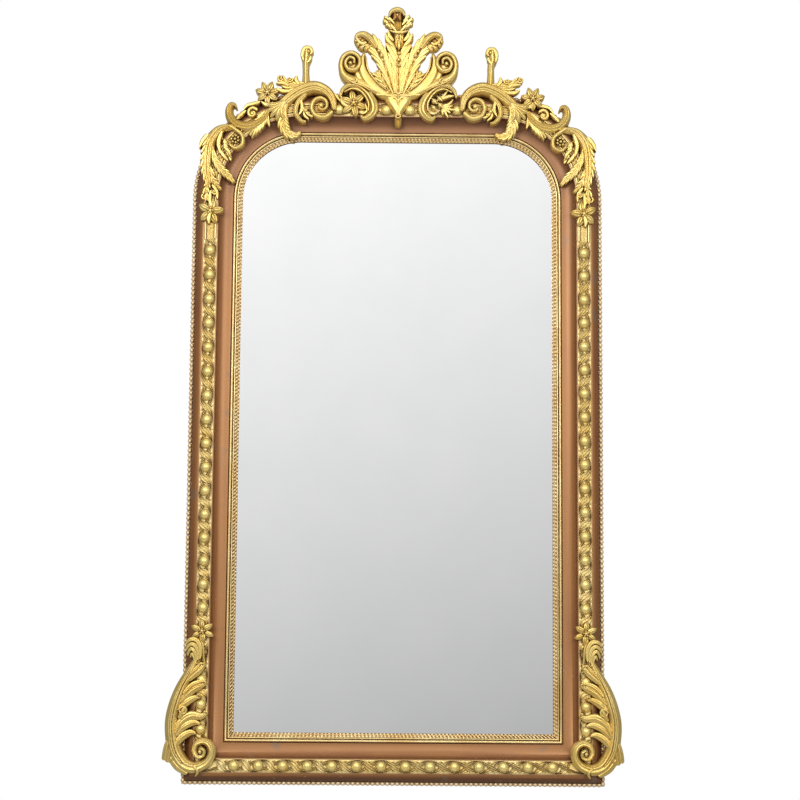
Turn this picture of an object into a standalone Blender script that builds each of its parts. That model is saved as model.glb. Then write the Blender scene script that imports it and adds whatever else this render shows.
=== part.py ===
# Tall arched wall mirror: a moulded wooden frame with gilt bands, beads and carved ornaments.
# Metres, +Z up, +X to the right seen from the front, which faces -Y.
# The origin lies on the wall, behind the middle of the top rail.

import math

import bmesh
import bpy
from mathutils import Vector

# Driving sizes of the frame, metres
SIGHT_WIDTH = 0.822
SIGHT_HEIGHT = 1.554
SIGHT_CORNER_RADIUS = 0.156
RAIL_WIDTH = 0.132
CLEARANCE = 0.0003

# Glass, board and the rebate that holds them, heights above the wall
GLASS_THICKNESS = 0.005
BOARD_THICKNESS = 0.0044
BOARD_INSET = 0.0008
REBATE_WIDTH = 0.012
REBATE_SIDE_PLAY = 0.001
TONGUE_THICKNESS = 0.003

# Moulding, widths across the rail from the sight edge outwards
SIGHT_EDGE_WIDTH = 0.0232
SIGHT_LIP_WIDTH = 0.0105
SIGHT_LIP_RISE = 0.0055
SMALL_BEAD_RADIUS = 0.0019
BRIGHT_BEAD_RADIUS = 0.0029
SIGHT_BEAD_HEIGHT = 0.0255
COVE_WIDTH = 0.0365
COVE_FLOOR_HEIGHT = 0.020
GROOVE_WIDTH = 0.0015
LAND_WIDTH = 0.0015
LAND_HEIGHT = 0.0425
BAND_WIDTH = 0.0359
BAND_THICKNESS = 0.0037
BAND_HEIGHT = 0.044
SLOPE_FOOT_HEIGHT = 0.025
EDGE_BEAD_DIAMETER = 0.0108
EDGE_SEAT_HEIGHT = 0.013
SIDE_SETBACK = 0.0015
BACK_CHAMFER = 0.002
LIP_EDGE_SHARE = 0.3
LIP_SHOULDER = (0.45, 0.85)
SLOPE_SHARES = (0.0, 0.35, 0.7, 1.0)
SLOPE_SWELL = 0.18

# Balls of the guilloche bands
BALL_DIAMETER = 0.0255
BALL_RISE = 0.0095
BALL_PITCH_SIDE = 0.0621
BALL_PITCH_LEVEL = 0.0625
KNOT_WIDTH = 0.032
KNOT_RISE = 0.0022
SIDE_BALLS_FROM_TOP = 0.302
LEFT_BALL_DRIFT = 0.0135
BOTTOM_BALLS_FROM_CORNER = 0.050
TOP_BALLS = (-2.5, -0.5, 0.5, 2.5)
BALL_SIDES = 8
BALL_SHOULDER = (0.8, 0.62)
KNOT_SIDES = 4
BALL_ROOM = 0.0012

# Ornaments: each is drawn on a grid of its own, columns by rows, and these are the real sizes of the grids;
# the widths of those along the top keep their share of the frame's width
CREST_HEIGHT = 0.326
CREST_WIDTH_SHARE = 0.6457
CREST_GRID = (120.0, 120.0)
SHOULDER_HEIGHT = 0.234
SHOULDER_WIDTH_SHARE = 0.582
SHOULDER_GRID = (108.0, 86.0)
CORNER_LEAF_HEIGHT = 0.272
CORNER_LEAF_WIDTH_SHARE = 0.2478
CORNER_LEAF_GRID = (46.0, 100.0)
FOOT_SCROLL_HEIGHT = 0.386
FOOT_SCROLL_WIDTH = 0.127
FOOT_SCROLL_GRID = (50.0, 152.0)
CROWN_UNIT = 0.001
CREST_ABOVE_RAIL = -0.009
SHOULDER_OUT_SHARE = 0.4154
SHOULDER_BELOW_TOP = 0.045
CORNER_LEAF_BELOW_TOP = 0.331
FOOT_SCROLL_ABOVE_BOTTOM = 0.390
BALLS_HIDDEN_BY_FOOT = (-0.085, 0.025)
KNOTS_HIDDEN_BY_FOOT = (-0.235, 0.060)
ORNAMENT_BACK = 0.018
CARVING_VOXEL = 0.0023

# Places that follow from the driving sizes
HALF_SIGHT = SIGHT_WIDTH / 2
SIGHT_TOP = -RAIL_WIDTH / 2
SIGHT_BOTTOM = SIGHT_TOP - SIGHT_HEIGHT
ARC_CENTRE_X = HALF_SIGHT - SIGHT_CORNER_RADIUS
ARC_CENTRE_Z = SIGHT_TOP - SIGHT_CORNER_RADIUS
FRAME_TOP = SIGHT_TOP + RAIL_WIDTH
FRAME_BOTTOM = SIGHT_BOTTOM - RAIL_WIDTH
BOARD_FRONT = BOARD_INSET + BOARD_THICKNESS
GLASS_BACK = BOARD_FRONT + CLEARANCE
GLASS_FRONT = GLASS_BACK + GLASS_THICKNESS
REBATE_DEPTH = GLASS_FRONT + CLEARANCE
TONGUE_FRONT = REBATE_DEPTH + TONGUE_THICKNESS
COVE_INNER = SIGHT_EDGE_WIDTH + CLEARANCE + GROOVE_WIDTH
COVE_OUTER = COVE_INNER + COVE_WIDTH
CHANNEL_INNER = COVE_OUTER + LAND_WIDTH
BAND_INNER = CHANNEL_INNER + CLEARANCE
BAND_OUTER = BAND_INNER + BAND_WIDTH
CHANNEL_OUTER = BAND_OUTER + CLEARANCE
SLOPE_INNER = CHANNEL_OUTER + LAND_WIDTH
EDGE_SEAT_INNER = RAIL_WIDTH - EDGE_BEAD_DIAMETER - CLEARANCE
BAND_BACK = BAND_HEIGHT - BAND_THICKNESS
CHANNEL_FLOOR = BAND_BACK - CLEARANCE
BAND_CENTRE = (BAND_INNER + BAND_OUTER) / 2
BAND_LINE = HALF_SIGHT + BAND_CENTRE
CREST_WIDTH = BAND_LINE * CREST_WIDTH_SHARE
SHOULDER_WIDTH = BAND_LINE * SHOULDER_WIDTH_SHARE
CORNER_LEAF_WIDTH = BAND_LINE * CORNER_LEAF_WIDTH_SHARE
FOOT_LEVEL = FRAME_BOTTOM + FOOT_SCROLL_ABOVE_BOTTOM

# Fineness of the solids
ARC_STEPS = 8
COVE_STEPS = 6
SEAT_COVE_STEPS = 3
CREST_TRIANGLES = 900
SHOULDER_TRIANGLES = 580
FOOT_TRIANGLES = 380
CARVING_CREASE_DEGREES = 50

WOOD_COLOUR = (0.30, 0.12, 0.06)
GILT_COLOUR = (0.72, 0.48, 0.14)
ANTIQUE_GILT_COLOUR = (0.50, 0.33, 0.14)
GLASS_COLOUR = (0.82, 0.84, 0.84)
BOARD_COLOUR = (0.33, 0.22, 0.13)


def clear_scene():
    for item in list(bpy.data.objects):
        bpy.data.objects.remove(item, do_unlink=True)


def make_material(name, colour, roughness, metallic):
    material = bpy.data.materials.new(name)
    material.use_nodes = True
    shader = material.node_tree.nodes["Principled BSDF"]
    shader.inputs["Base Color"].default_value = (*colour, 1.0)
    shader.inputs["Roughness"].default_value = roughness
    shader.inputs["Metallic"].default_value = metallic
    return material


def make_object(name, mesh, material, smooth_angle=None):
    item = bpy.data.objects.new(name, mesh)
    bpy.context.scene.collection.objects.link(item)
    mesh.materials.clear()
    mesh.materials.append(material)
    if smooth_angle is not None:
        mesh.shade_smooth()
        mesh.set_sharp_from_angle(angle=math.radians(smooth_angle))
    return item


# Outlines parallel to the sight edge

def arc_points(side, offset, steps):
    """One top corner at this distance outside the sight edge, from the upright to the level rail."""
    radius = SIGHT_CORNER_RADIUS + offset
    points = []
    for step in range(steps + 1):
        angle = math.pi / 2 * step / steps
        x = ARC_CENTRE_X + radius * math.cos(angle)
        points.append((side * x, ARC_CENTRE_Z + radius * math.sin(angle)))
    return points


def closed_outline(offset):
    """The whole outline, from the lower left corner up, over and down to the lower right corner."""
    left = arc_points(-1, offset, ARC_STEPS)
    right = arc_points(1, offset, ARC_STEPS)
    low = SIGHT_BOTTOM - offset
    across = HALF_SIGHT + offset
    return [(-across, low)] + left + right[::-1] + [(across, low)]


def side_run(side):
    """An upright strip: mitred at its foot, square at its head below the corner."""
    def run(offset):
        across = side * (HALF_SIGHT + offset)
        foot = (across, SIGHT_BOTTOM - offset + CLEARANCE)
        head = (across, ARC_CENTRE_Z)
        return [foot, head] if side < 0 else [head, foot]
    return run


def top_run(offset):
    points = arc_points(-1, offset, ARC_STEPS) + arc_points(1, offset, ARC_STEPS)[::-1]
    across = HALF_SIGHT + offset
    start = (-across, ARC_CENTRE_Z + CLEARANCE)
    end = (across, ARC_CENTRE_Z + CLEARANCE)
    return [start] + points[1:-1] + [end]


def bottom_run(offset):
    across = HALF_SIGHT + offset - CLEARANCE
    low = SIGHT_BOTTOM - offset
    return [(across, low), (-across, low)]


def sweep(profile, outline, closed):
    """A mesh of a closed profile of (distance outside the sight edge, height) carried round an outline."""
    builder = bmesh.new()
    rings = []
    for offset, height in profile:
        rings.append([builder.verts.new((x, -height, z)) for x, z in outline(offset)])
    stations = len(rings[0])
    spans = stations if closed else stations - 1
    for index, ring in enumerate(rings):
        following = rings[(index + 1) % len(rings)]
        for station in range(spans):
            after = (station + 1) % stations
            builder.faces.new((ring[station], ring[after], following[after], following[station]))
    if not closed:
        builder.faces.new([ring[0] for ring in rings])
        builder.faces.new([ring[-1] for ring in rings[::-1]])
    bmesh.ops.recalc_face_normals(builder, faces=builder.faces)
    return finish_mesh(builder)


def finish_mesh(builder):
    mesh = bpy.data.meshes.new("mesh")
    builder.to_mesh(mesh)
    builder.free()
    return mesh


# Profiles across the rail

def bead_points(centre, base, radius, height, steps):
    """The round of a bead standing on a base, from its inner to its outer side."""
    points = []
    for step in range(steps + 1):
        angle = math.pi * (1 - step / steps)
        rise = base + (height - base) * math.sin(angle)
        points.append((centre + radius * math.cos(angle), rise))
    return points


def cove_points(steps):
    points = []
    for step in range(steps + 1):
        angle = math.pi / 2 * step / steps
        offset = COVE_INNER + COVE_WIDTH * math.sin(angle)
        points.append((offset, LAND_HEIGHT - (LAND_HEIGHT - COVE_FLOOR_HEIGHT) * math.cos(angle)))
    return points


def slope_points():
    """The brown outer slope, a shallow swelling curve down to the edge beading."""
    width = EDGE_SEAT_INNER - SLOPE_INNER
    fall = LAND_HEIGHT - SLOPE_FOOT_HEIGHT
    points = []
    for share in SLOPE_SHARES:
        swell = SLOPE_SWELL * math.sin(math.pi * share)
        points.append((SLOPE_INNER + width * share, LAND_HEIGHT - fall * (share - swell)))
    return points


def frame_profile():
    outer_side = RAIL_WIDTH - SIDE_SETBACK
    profile = [(0.0, REBATE_DEPTH), (0.0, TONGUE_FRONT), (COVE_INNER - GROOVE_WIDTH, TONGUE_FRONT)]
    profile += cove_points(COVE_STEPS)
    profile += [(CHANNEL_INNER, LAND_HEIGHT), (CHANNEL_INNER, CHANNEL_FLOOR)]
    profile += [(CHANNEL_OUTER, CHANNEL_FLOOR), (CHANNEL_OUTER, LAND_HEIGHT)]
    profile += slope_points()
    profile += [(EDGE_SEAT_INNER, EDGE_SEAT_HEIGHT), (outer_side, EDGE_SEAT_HEIGHT)]
    profile += [(outer_side, BACK_CHAMFER), (outer_side - BACK_CHAMFER, 0.0)]
    profile += [(REBATE_WIDTH, 0.0), (REBATE_WIDTH, REBATE_DEPTH)]
    return profile


def sight_profile():
    """The carved lip by the glass, a small bead and a larger plain bead."""
    seat = TONGUE_FRONT + CLEARANCE
    lip_top = seat + SIGHT_LIP_RISE
    small_centre = SIGHT_LIP_WIDTH + SMALL_BEAD_RADIUS
    bright_centre = SIGHT_EDGE_WIDTH - BRIGHT_BEAD_RADIUS
    across_share, rise_share = LIP_SHOULDER
    profile = [(CLEARANCE, seat), (CLEARANCE, seat + SIGHT_LIP_RISE * LIP_EDGE_SHARE)]
    profile += [(SIGHT_LIP_WIDTH * across_share, seat + SIGHT_LIP_RISE * rise_share)]
    profile += [(SIGHT_LIP_WIDTH, lip_top)]
    profile += bead_points(small_centre, lip_top, SMALL_BEAD_RADIUS, lip_top + SMALL_BEAD_RADIUS, 3)[1:]
    profile += bead_points(bright_centre, lip_top, BRIGHT_BEAD_RADIUS, SIGHT_BEAD_HEIGHT, 5)
    profile += [(SIGHT_EDGE_WIDTH, seat)]
    return profile


def edge_profile():
    radius = EDGE_BEAD_DIAMETER / 2
    centre = RAIL_WIDTH - radius
    seat = EDGE_SEAT_HEIGHT + CLEARANCE
    points = [(centre - radius, seat)]
    points += bead_points(centre, seat + radius, radius, seat + 2 * radius, 5)
    points += [(centre + radius, seat)]
    return points


def band_profile():
    inner = [(BAND_INNER, BAND_BACK), (BAND_INNER, BAND_HEIGHT)]
    outer = [(BAND_OUTER, BAND_HEIGHT), (BAND_OUTER, BAND_BACK)]
    return inner + outer


def plate_mesh(back, front):
    """A flat plate that fills the rebate with a little play at its edge."""
    outline = closed_outline(REBATE_WIDTH - REBATE_SIDE_PLAY)
    builder = bmesh.new()
    face = builder.faces.new([builder.verts.new((x, -back, z)) for x, z in outline])
    moved = bmesh.ops.extrude_face_region(builder, geom=[face])["geom"]
    corners = [part for part in moved if isinstance(part, bmesh.types.BMVert)]
    bmesh.ops.translate(builder, verts=corners, vec=(0.0, back - front, 0.0))
    bmesh.ops.recalc_face_normals(builder, faces=builder.faces)
    return finish_mesh(builder)


# Balls along the bands

def side_places(side, first, hidden):
    """Places down an upright band, counted in pitches, without those that the foot scroll hides."""
    top = SIGHT_TOP - SIDE_BALLS_FROM_TOP
    low, high = hidden
    count = int((top - SIGHT_BOTTOM) / BALL_PITCH_SIDE) + 1 - math.ceil(first)
    scroll_number = (top - FOOT_LEVEL) / BALL_PITCH_SIDE
    places = []
    for index in range(count):
        number = first + index
        height = top - BALL_PITCH_SIDE * number
        if side < 0 and number < scroll_number:
            height -= LEFT_BALL_DRIFT * math.sin(math.pi * number / scroll_number)
        if not low < height - FOOT_LEVEL < high:
            places.append((side * BAND_LINE, height))
    return places


def level_places(height, numbers):
    """Places along a level band, counted in pitches from its middle."""
    return [(BALL_PITCH_LEVEL * number, height) for number in numbers]


def bottom_numbers(shift):
    """Counts of pitches either side of the middle: half pitches for balls, whole ones for knots."""
    pairs = int((BAND_LINE - BOTTOM_BALLS_FROM_CORNER) / BALL_PITCH_LEVEL)
    return [shift - pairs + n for n in range(2 * pairs - round(2 * shift - 1))]


def side_balls(side):
    return side_places(side, 0, BALLS_HIDDEN_BY_FOOT)


def side_knots(side):
    return side_places(side, 0.5, KNOTS_HIDDEN_BY_FOOT)


def bottom_balls():
    return level_places(SIGHT_BOTTOM - BAND_CENTRE, bottom_numbers(0.5))


def bottom_knots():
    return level_places(SIGHT_BOTTOM - BAND_CENTRE, bottom_numbers(1))


def top_balls():
    return level_places(SIGHT_TOP + BAND_CENTRE, TOP_BALLS)


def dome_rings(builder, centre, sides, levels, apex):
    """A closed boss facing the front: rings of (radius, height), then a tip."""
    x, z = centre
    rings = []
    for radius, height in levels:
        ring = []
        for side in range(sides):
            angle = 2 * math.pi * side / sides
            corner = (x + radius * math.cos(angle), -height, z + radius * math.sin(angle))
            ring.append(builder.verts.new(corner))
        rings.append(ring)
    for lower, upper in zip(rings, rings[1:]):
        for side in range(sides):
            after = (side + 1) % sides
            builder.faces.new((lower[side], lower[after], upper[after], upper[side]))
    tip = builder.verts.new((x, -apex, z))
    for side in range(sides):
        builder.faces.new((rings[-1][side], rings[-1][(side + 1) % sides], tip))
    builder.faces.new(rings[0][::-1])


def ball_mesh(places):
    """A ball at each place, closed and sunk a little into the band below it."""
    radius = BALL_DIAMETER / 2
    width_share, rise_share = BALL_SHOULDER
    levels = [(radius, BAND_HEIGHT - BAND_THICKNESS / 2)]
    levels += [(radius * width_share, BAND_HEIGHT + BALL_RISE * rise_share)]
    builder = bmesh.new()
    for place in places:
        dome_rings(builder, place, BALL_SIDES, levels, BAND_HEIGHT + BALL_RISE)
    return closed_mesh(builder)


def knot_mesh(places):
    """The crossing of the two ribbons halfway between balls, a low four-sided boss."""
    builder = bmesh.new()
    levels = [(KNOT_WIDTH / 2, BAND_HEIGHT - BAND_THICKNESS / 2)]
    for place in places:
        dome_rings(builder, place, KNOT_SIDES, levels, BAND_HEIGHT + KNOT_RISE)
    return closed_mesh(builder)


def ball_cutter_mesh(places):
    """The room that an ornament leaves round each ball beside it."""
    builder = bmesh.new()
    top = BAND_HEIGHT + BALL_RISE + CLEARANCE
    radius = BALL_DIAMETER / 2 + BALL_ROOM
    levels = [(radius, BAND_HEIGHT), (radius, top)]
    for place in places:
        dome_rings(builder, place, BALL_SIDES, levels, top + CLEARANCE)
    return closed_mesh(builder)


def closed_mesh(builder):
    bmesh.ops.recalc_face_normals(builder, faces=builder.faces)
    return finish_mesh(builder)


def boolean(item, cutter, operation, solver="EXACT"):
    """Combine two objects at once and keep only the first."""
    modifier = item.modifiers.new("combine", "BOOLEAN")
    modifier.operation = operation
    modifier.solver = solver
    modifier.object = cutter
    bpy.context.view_layer.update()
    graph = bpy.context.evaluated_depsgraph_get()
    mesh = bpy.data.meshes.new_from_object(item.evaluated_get(graph))
    item.modifiers.remove(modifier)
    old = item.data
    item.data = mesh
    bpy.data.meshes.remove(old)
    bpy.data.objects.remove(cutter, do_unlink=True)


def ball_band(name, outline, places, knots, material):
    band = make_object(name, sweep(band_profile(), outline, closed=False), material)
    boolean(band, make_object("balls", ball_mesh(places), material), "UNION")
    if knots:
        boolean(band, make_object("knots", knot_mesh(knots), material), "UNION")
    return band


# Carving strokes: a ridge that follows a smooth curve, on the ornament's own grid

def smooth_row(rows, position):
    """A Catmull-Rom curve through rows of numbers, at a place counted in rows."""
    last = len(rows) - 1
    start = min(int(position), last - 1)
    t = position - start
    before = rows[max(start - 1, 0)]
    first = rows[start]
    second = rows[start + 1]
    after = rows[min(start + 2, last)]
    values = []
    for p0, p1, p2, p3 in zip(before, first, second, after):
        bend = (2 * p0 - 5 * p1 + 4 * p2 - p3) * t * t + (3 * p1 - p0 - 3 * p2 + p3) * t ** 3
        values.append(p1 + 0.5 * ((p2 - p0) * t + bend))
    return values


PLAIN_SECTION = ((1.0, 0.0), (0.86, 0.55), (0.5, 0.9), (0.0, 1.0), (-0.5, 0.9), (-0.86, 0.55), (-1.0, 0.0))
FLUTED_SECTION = ((1.0, 0.0), (0.9, 0.7), (0.5, 1.0), (0.18, 0.62), (-0.18, 0.62), (-0.5, 1.0),
                  (-0.9, 0.7), (-1.0, 0.0))
BOSS_LEVELS = ((1.0, -0.9), (0.8, -0.35), (0.4, -0.06))
PETAL_SHARES = ((0.1, 0.33, 0), (0.55, 1.0, 1), (0.85, 0.7, 3), (1.0, 0.17, 7))
STEPS_PER_ROW = 4
RIDGE_SHARE = 0.45
RIDGE_SLOPE = 1.2
LEAST_HALF_WIDTH = 0.4
VOLUTE_CLOSING = 0.78
VOLUTE_THINNING = 0.55
VOLUTE_RISE = 5
EYE_SHARE = 0.24
EYE_RISE = 7
FLOWER_EYE_RISE = 3


class Drawing:
    """An ornament's own grid: x counted outwards, z upwards, crowns in crown units above the wall."""

    def __init__(self, place, width, height, grid, side):
        columns, rows = grid
        self.place = place
        self.column = width / columns
        self.part = height / rows
        self.side = side
        self.builder = bmesh.new()

    def point(self, x, z, height):
        across = self.place[0] + x * self.column
        return (self.side * across, -height, self.place[1] + z * self.part)

    def on_grid_of(self, other, x, z):
        """Where a point of another drawing lies on this one's grid."""
        across, _, height = other.point(x, z, 0.0)
        own_x = (across * self.side - self.place[0]) / self.column
        return (own_x, (height - self.place[1]) / self.part)

    def close_rings(self, rings):
        count = len(rings[0])
        for ring, following in zip(rings, rings[1:]):
            for index in range(count):
                after = (index + 1) % count
                self.builder.faces.new((ring[index], ring[after], following[after], following[index]))
        self.builder.faces.new(rings[0][::-1])
        self.builder.faces.new(rings[-1])

    def stroke(self, rows, section=PLAIN_SECTION):
        """A ridge through rows of (x, z, half width, crown)."""
        samples = []
        count = (len(rows) - 1) * STEPS_PER_ROW
        for step in range(count + 1):
            samples.append(smooth_row(rows, step / STEPS_PER_ROW))
        rings = []
        for index, (x, z, half_width, crown) in enumerate(samples):
            ahead = samples[min(index + 1, count)]
            behind = samples[max(index - 1, 0)]
            along = Vector((ahead[0] - behind[0], ahead[1] - behind[1])).normalized()
            half_width = max(half_width, LEAST_HALF_WIDTH)
            crown = crown * CROWN_UNIT
            foot = crown - min((crown - ORNAMENT_BACK) * RIDGE_SHARE, half_width * self.part * RIDGE_SLOPE)
            ring = []
            for across, rise in ((1.0, None),) + section + ((-1.0, None),):
                height = ORNAMENT_BACK if rise is None else foot + (crown - foot) * rise
                px = x - along.y * across * half_width
                pz = z + along.x * across * half_width
                ring.append(self.builder.verts.new(self.point(px, pz, height)))
            rings.append(ring)
        self.close_rings(rings)

    def fluted(self, rows):
        self.stroke(rows, FLUTED_SECTION)

    def boss(self, x, z, radius, crown):
        """A round button."""
        crown = crown * CROWN_UNIT
        rings = []
        for share, rise in ((1.0, None),) + BOSS_LEVELS:
            height = ORNAMENT_BACK if rise is None else crown + rise * radius * self.part
            ring = []
            for side in range(BALL_SIDES):
                angle = 2 * math.pi * side / BALL_SIDES
                px = x + radius * share * math.cos(angle)
                pz = z + radius * share * math.sin(angle)
                ring.append(self.builder.verts.new(self.point(px, pz, height)))
            rings.append(ring)
        self.close_rings(rings)

    def flower(self, x, z, radius, petals, crown, turn=0.0, width=0.26):
        """Pointed petals round a button."""
        for petal in range(petals):
            angle = math.radians(turn + 360.0 * petal / petals)
            cosine = math.cos(angle)
            sine = math.sin(angle)
            rows = []
            for share, spread, drop in PETAL_SHARES:
                reach = radius * share
                rows.append((x + cosine * reach, z + sine * reach, spread * width * radius, crown - drop))
            self.stroke(rows)
        self.boss(x, z, radius * EYE_SHARE, crown + FLOWER_EYE_RISE)

    def volute(self, x, z, radius, turns, start, hand, width, crown):
        """A spiral band that winds in to an eye."""
        rows = []
        count = int(turns * 8)
        for step in range(count + 1):
            share = step / count
            angle = math.radians(start + hand * 360.0 * turns * share)
            reach = radius * (1.0 - VOLUTE_CLOSING * share)
            spread = width * (1.0 - VOLUTE_THINNING * share)
            height = crown + VOLUTE_RISE * share
            rows.append((x + reach * math.cos(angle), z + reach * math.sin(angle), spread, height))
        self.stroke(rows)
        self.boss(x, z, radius * EYE_SHARE, crown + EYE_RISE)


def crest_carving(drawing_left, drawing_right):
    """The plume of leaves between two scrolls, over a shield and a pendant."""
    centre = drawing_right
    centre.fluted([(0, -2, 5, 60), (0, 20, 7.5, 68), (0, 42, 8.8, 76), (0, 54, 7.4, 82), (0, 62, 8, 88)])
    centre.stroke([(-1, 60, 6, 88), (-1.5, 69, 8.5, 96), (-1.5, 76, 7.6, 99), (-1.5, 80.5, 4.5, 95)])
    centre.stroke([(0, 3, 9, 58), (0, -4, 14.5, 64), (0, -12, 10, 64), (0, -20, 3.5, 60)])
    centre.stroke([(0, -18, 3, 56), (0, -25, 3.8, 54), (0, -29.5, 3.2, 51), (0, -32, 1.8, 48)])
    for half in (drawing_left, drawing_right):
        half.stroke([(5, 44, 3, 78), (8, 52, 2.8, 84), (12.5, 57, 2, 84)])
        half.stroke([(7, 40, 2.5, 76), (10, 46, 2.4, 80), (14, 50, 1.4, 78)])
        half.stroke([(5, 61, 3.5, 90), (10.5, 65.5, 4, 95), (12.8, 71, 2.6, 94)])
        half.fluted([(5, 0, 3, 60), (10, 20, 6, 68), (18, 37, 7, 76), (26.5, 48.5, 6.8, 86),
                     (34.5, 54.5, 5.6, 92), (42, 53.5, 3.4, 91)])
        half.stroke([(29, 47.5, 3.4, 84), (36, 45.5, 3, 86), (40, 47.5, 1.6, 84)])
        half.stroke([(24, 43, 3, 80), (30, 42.5, 2.4, 82), (34, 42.5, 1.6, 80)])
        half.stroke([(8, 1, 2, 56), (13, 8, 3.4, 60), (18.5, 15.5, 4.6, 64), (23.5, 23, 4, 65)])
        half.stroke([(3, -4, 3.4, 56), (12, -1, 5.4, 58), (22, 5, 7, 61), (30, 13.5, 7.6, 63),
                     (35.6, 23, 6, 65), (36.4, 32, 3.4, 66), (34.4, 39.5, 1.4, 65)])
        half.boss(47.5, 28, 10.4, 61)
        half.stroke([(24, 3, 4.6, 60), (36, 9, 6.6, 62), (47, 13, 5.8, 64), (55, 19, 3.8, 66),
                     (57.6, 28.5, 2.7, 68), (54.6, 36.6, 2.5, 69), (47.5, 39.6, 2.4, 70), (40.4, 36, 2.2, 71),
                     (38.8, 28.4, 2.1, 72), (43.4, 22.4, 1.9, 73), (50, 22.6, 1.8, 74),
                     (53.2, 28.6, 1.7, 75)])
        half.boss(47.5, 30, 2.6, 76)
        half.boss(44.5, 13, 3, 68)
        half.stroke([(56, -1, 1.6, 58), (54, 5, 2.6, 60), (47, 9, 3.2, 62), (38, 6, 4, 62), (29, -3, 5.4, 62),
                     (24, -12, 6, 60), (25, -20, 5, 58), (33, -25, 2.6, 54)])
        half.stroke([(24, -3, 4, 58), (14, -4, 4, 60), (4, -4, 5, 62)])
    drawing_left.flower(44.5, -10, 14, 6, 62, 20.0)
    drawing_left.stroke([(57, -3, 1.6, 56), (56, -9, 1.9, 58), (51, -13, 1.8, 56), (44, -12, 1.6, 56)])
    drawing_right.flower(38, -11, 10, 5, 62, 50.0, 0.32)
    drawing_right.stroke([(36, -10, 3, 58), (44, -4, 2.4, 60), (50, 5, 1.6, 58)])
    for reach in range(5):
        angle = math.radians(-75 + reach * 24)
        tip = (46 + 12 * math.cos(angle), -12 + 12 * math.sin(angle))
        middle = ((45 + tip[0]) / 2, (-9 + tip[1]) / 2)
        drawing_right.stroke([(44, -9, 1.4, 58), (*middle, 1.9, 60), (*tip, 1, 56)])


def shoulder_carving(half, upright_lean):
    """A C scroll with a volute, a bud, a flower and a curling leaf, lying along the shoulder."""
    half.fluted([(-13.5, -4, 2.6, 60), (-10.6, 8, 4.6, 62), (-3.5, 16, 5.8, 64), (8, 19.5, 6.8, 64),
                 (22, 15, 7.4, 62), (35, 6, 7.6, 60), (45, -4, 5.6, 58), (53, -9, 3, 56)])
    half.volute(0, 0, 12.6, 1.35, 205.0, 1.0, 2.6, 60)
    half.stroke([(17, 10, 3, 60), (25, 1, 3, 60), (24, -10, 2.6, 58), (17, -14.5, 2, 54)])
    half.stroke([(9, -10, 1.8, 56), (14, -8, 2.2, 58), (18, -3, 3, 60)])
    half.fluted([(34, 2, 3.4, 59), (38, -9, 5.2, 56), (37.6, -19, 5.6, 51), (33, -26, 4.6, 45),
                 (25.5, -27.5, 3, 40), (20, -24.5, 1, 38)])
    half.stroke([(37, -8, 2.5, 54), (31, -14, 1.6, 50)])
    half.stroke([(15.5, 22, 4, 58), (15.8, 34, 2.9, 58), (16, 43, 3.2, 60),
                 (15.2 + upright_lean, 50, 5.6, 62), (14.5 + upright_lean, 56, 3, 60)])
    half.stroke([(18, 22, 4, 58), (28, 19, 4.6, 58), (37, 20.5, 4, 58), (42, 27, 2.8, 60)])
    half.stroke([(22, 20, 3, 56), (28, 23, 3, 58), (31.5, 28, 1.6, 56)])
    half.flower(54, 13, 12, 7, 62, 12.0, 0.3)
    half.fluted([(55, -1, 3.6, 56), (61, -13, 5, 58), (71.5, -19.5, 5, 58), (83, -19.5, 4.4, 58),
                 (91, -12.5, 3.8, 60), (92, -4, 3.2, 60), (86, -0.5, 2.6, 60)])
    half.stroke([(63, -16, 3.4, 54), (68, -24, 3.6, 50), (70, -31, 1.2, 44)])
    half.stroke([(58, -9, 2.6, 54), (57, -15, 2.4, 50), (56, -21, 1, 46)])
    half.volute(68.5, -5, 6, 1.1, 210.0, -1.0, 2, 56)


def corner_leaf_carving(half):
    """The acanthus that wraps round the top corner and hangs down to a flower."""
    half.fluted([(-17, 85, 2.4, 58), (-6.5, 80.5, 4.8, 60), (2, 69, 7, 62), (4.5, 55, 6.4, 62),
                 (5, 40, 5.2, 60), (3, 27, 4.2, 58), (-0.5, 13, 3.6, 56)])
    half.stroke([(4, 74, 3, 58), (8, 67, 2.8, 56), (11, 62, 1, 52)])
    half.fluted([(-1.5, 62, 3.4, 60), (-5, 47, 4, 58), (-14, 39, 3.6, 52), (-23.5, 29, 0.9, 42)])
    half.stroke([(0, 44, 3, 58), (-3, 30, 3.4, 56), (-9, 22, 1.1, 50)])
    half.stroke([(-17, 85, 2, 58), (-23, 80.5, 2.2, 58), (-30, 74, 2.2, 58), (-29, 65, 2, 58),
                 (-22, 62.5, 1.6, 58)])
    half.boss(-23, 71, 5.4, 56)
    half.stroke([(-9, 76, 2.4, 58), (-6, 62, 2.6, 58), (-11, 52, 2, 54)])
    half.stroke([(-14, 70, 4, 50), (-15, 60, 4.4, 50), (-19, 50, 1.6, 46)])
    half.stroke([(4, 26, 2.6, 56), (7, 18, 3, 56), (5, 9, 2.4, 54)])
    half.stroke([(-2, 22, 2.6, 56), (-5, 13, 2.8, 56), (-6, 5, 1.6, 54)])
    half.flower(0, 0, 12.5, 6, 60, 0.0, 0.3)


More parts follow.
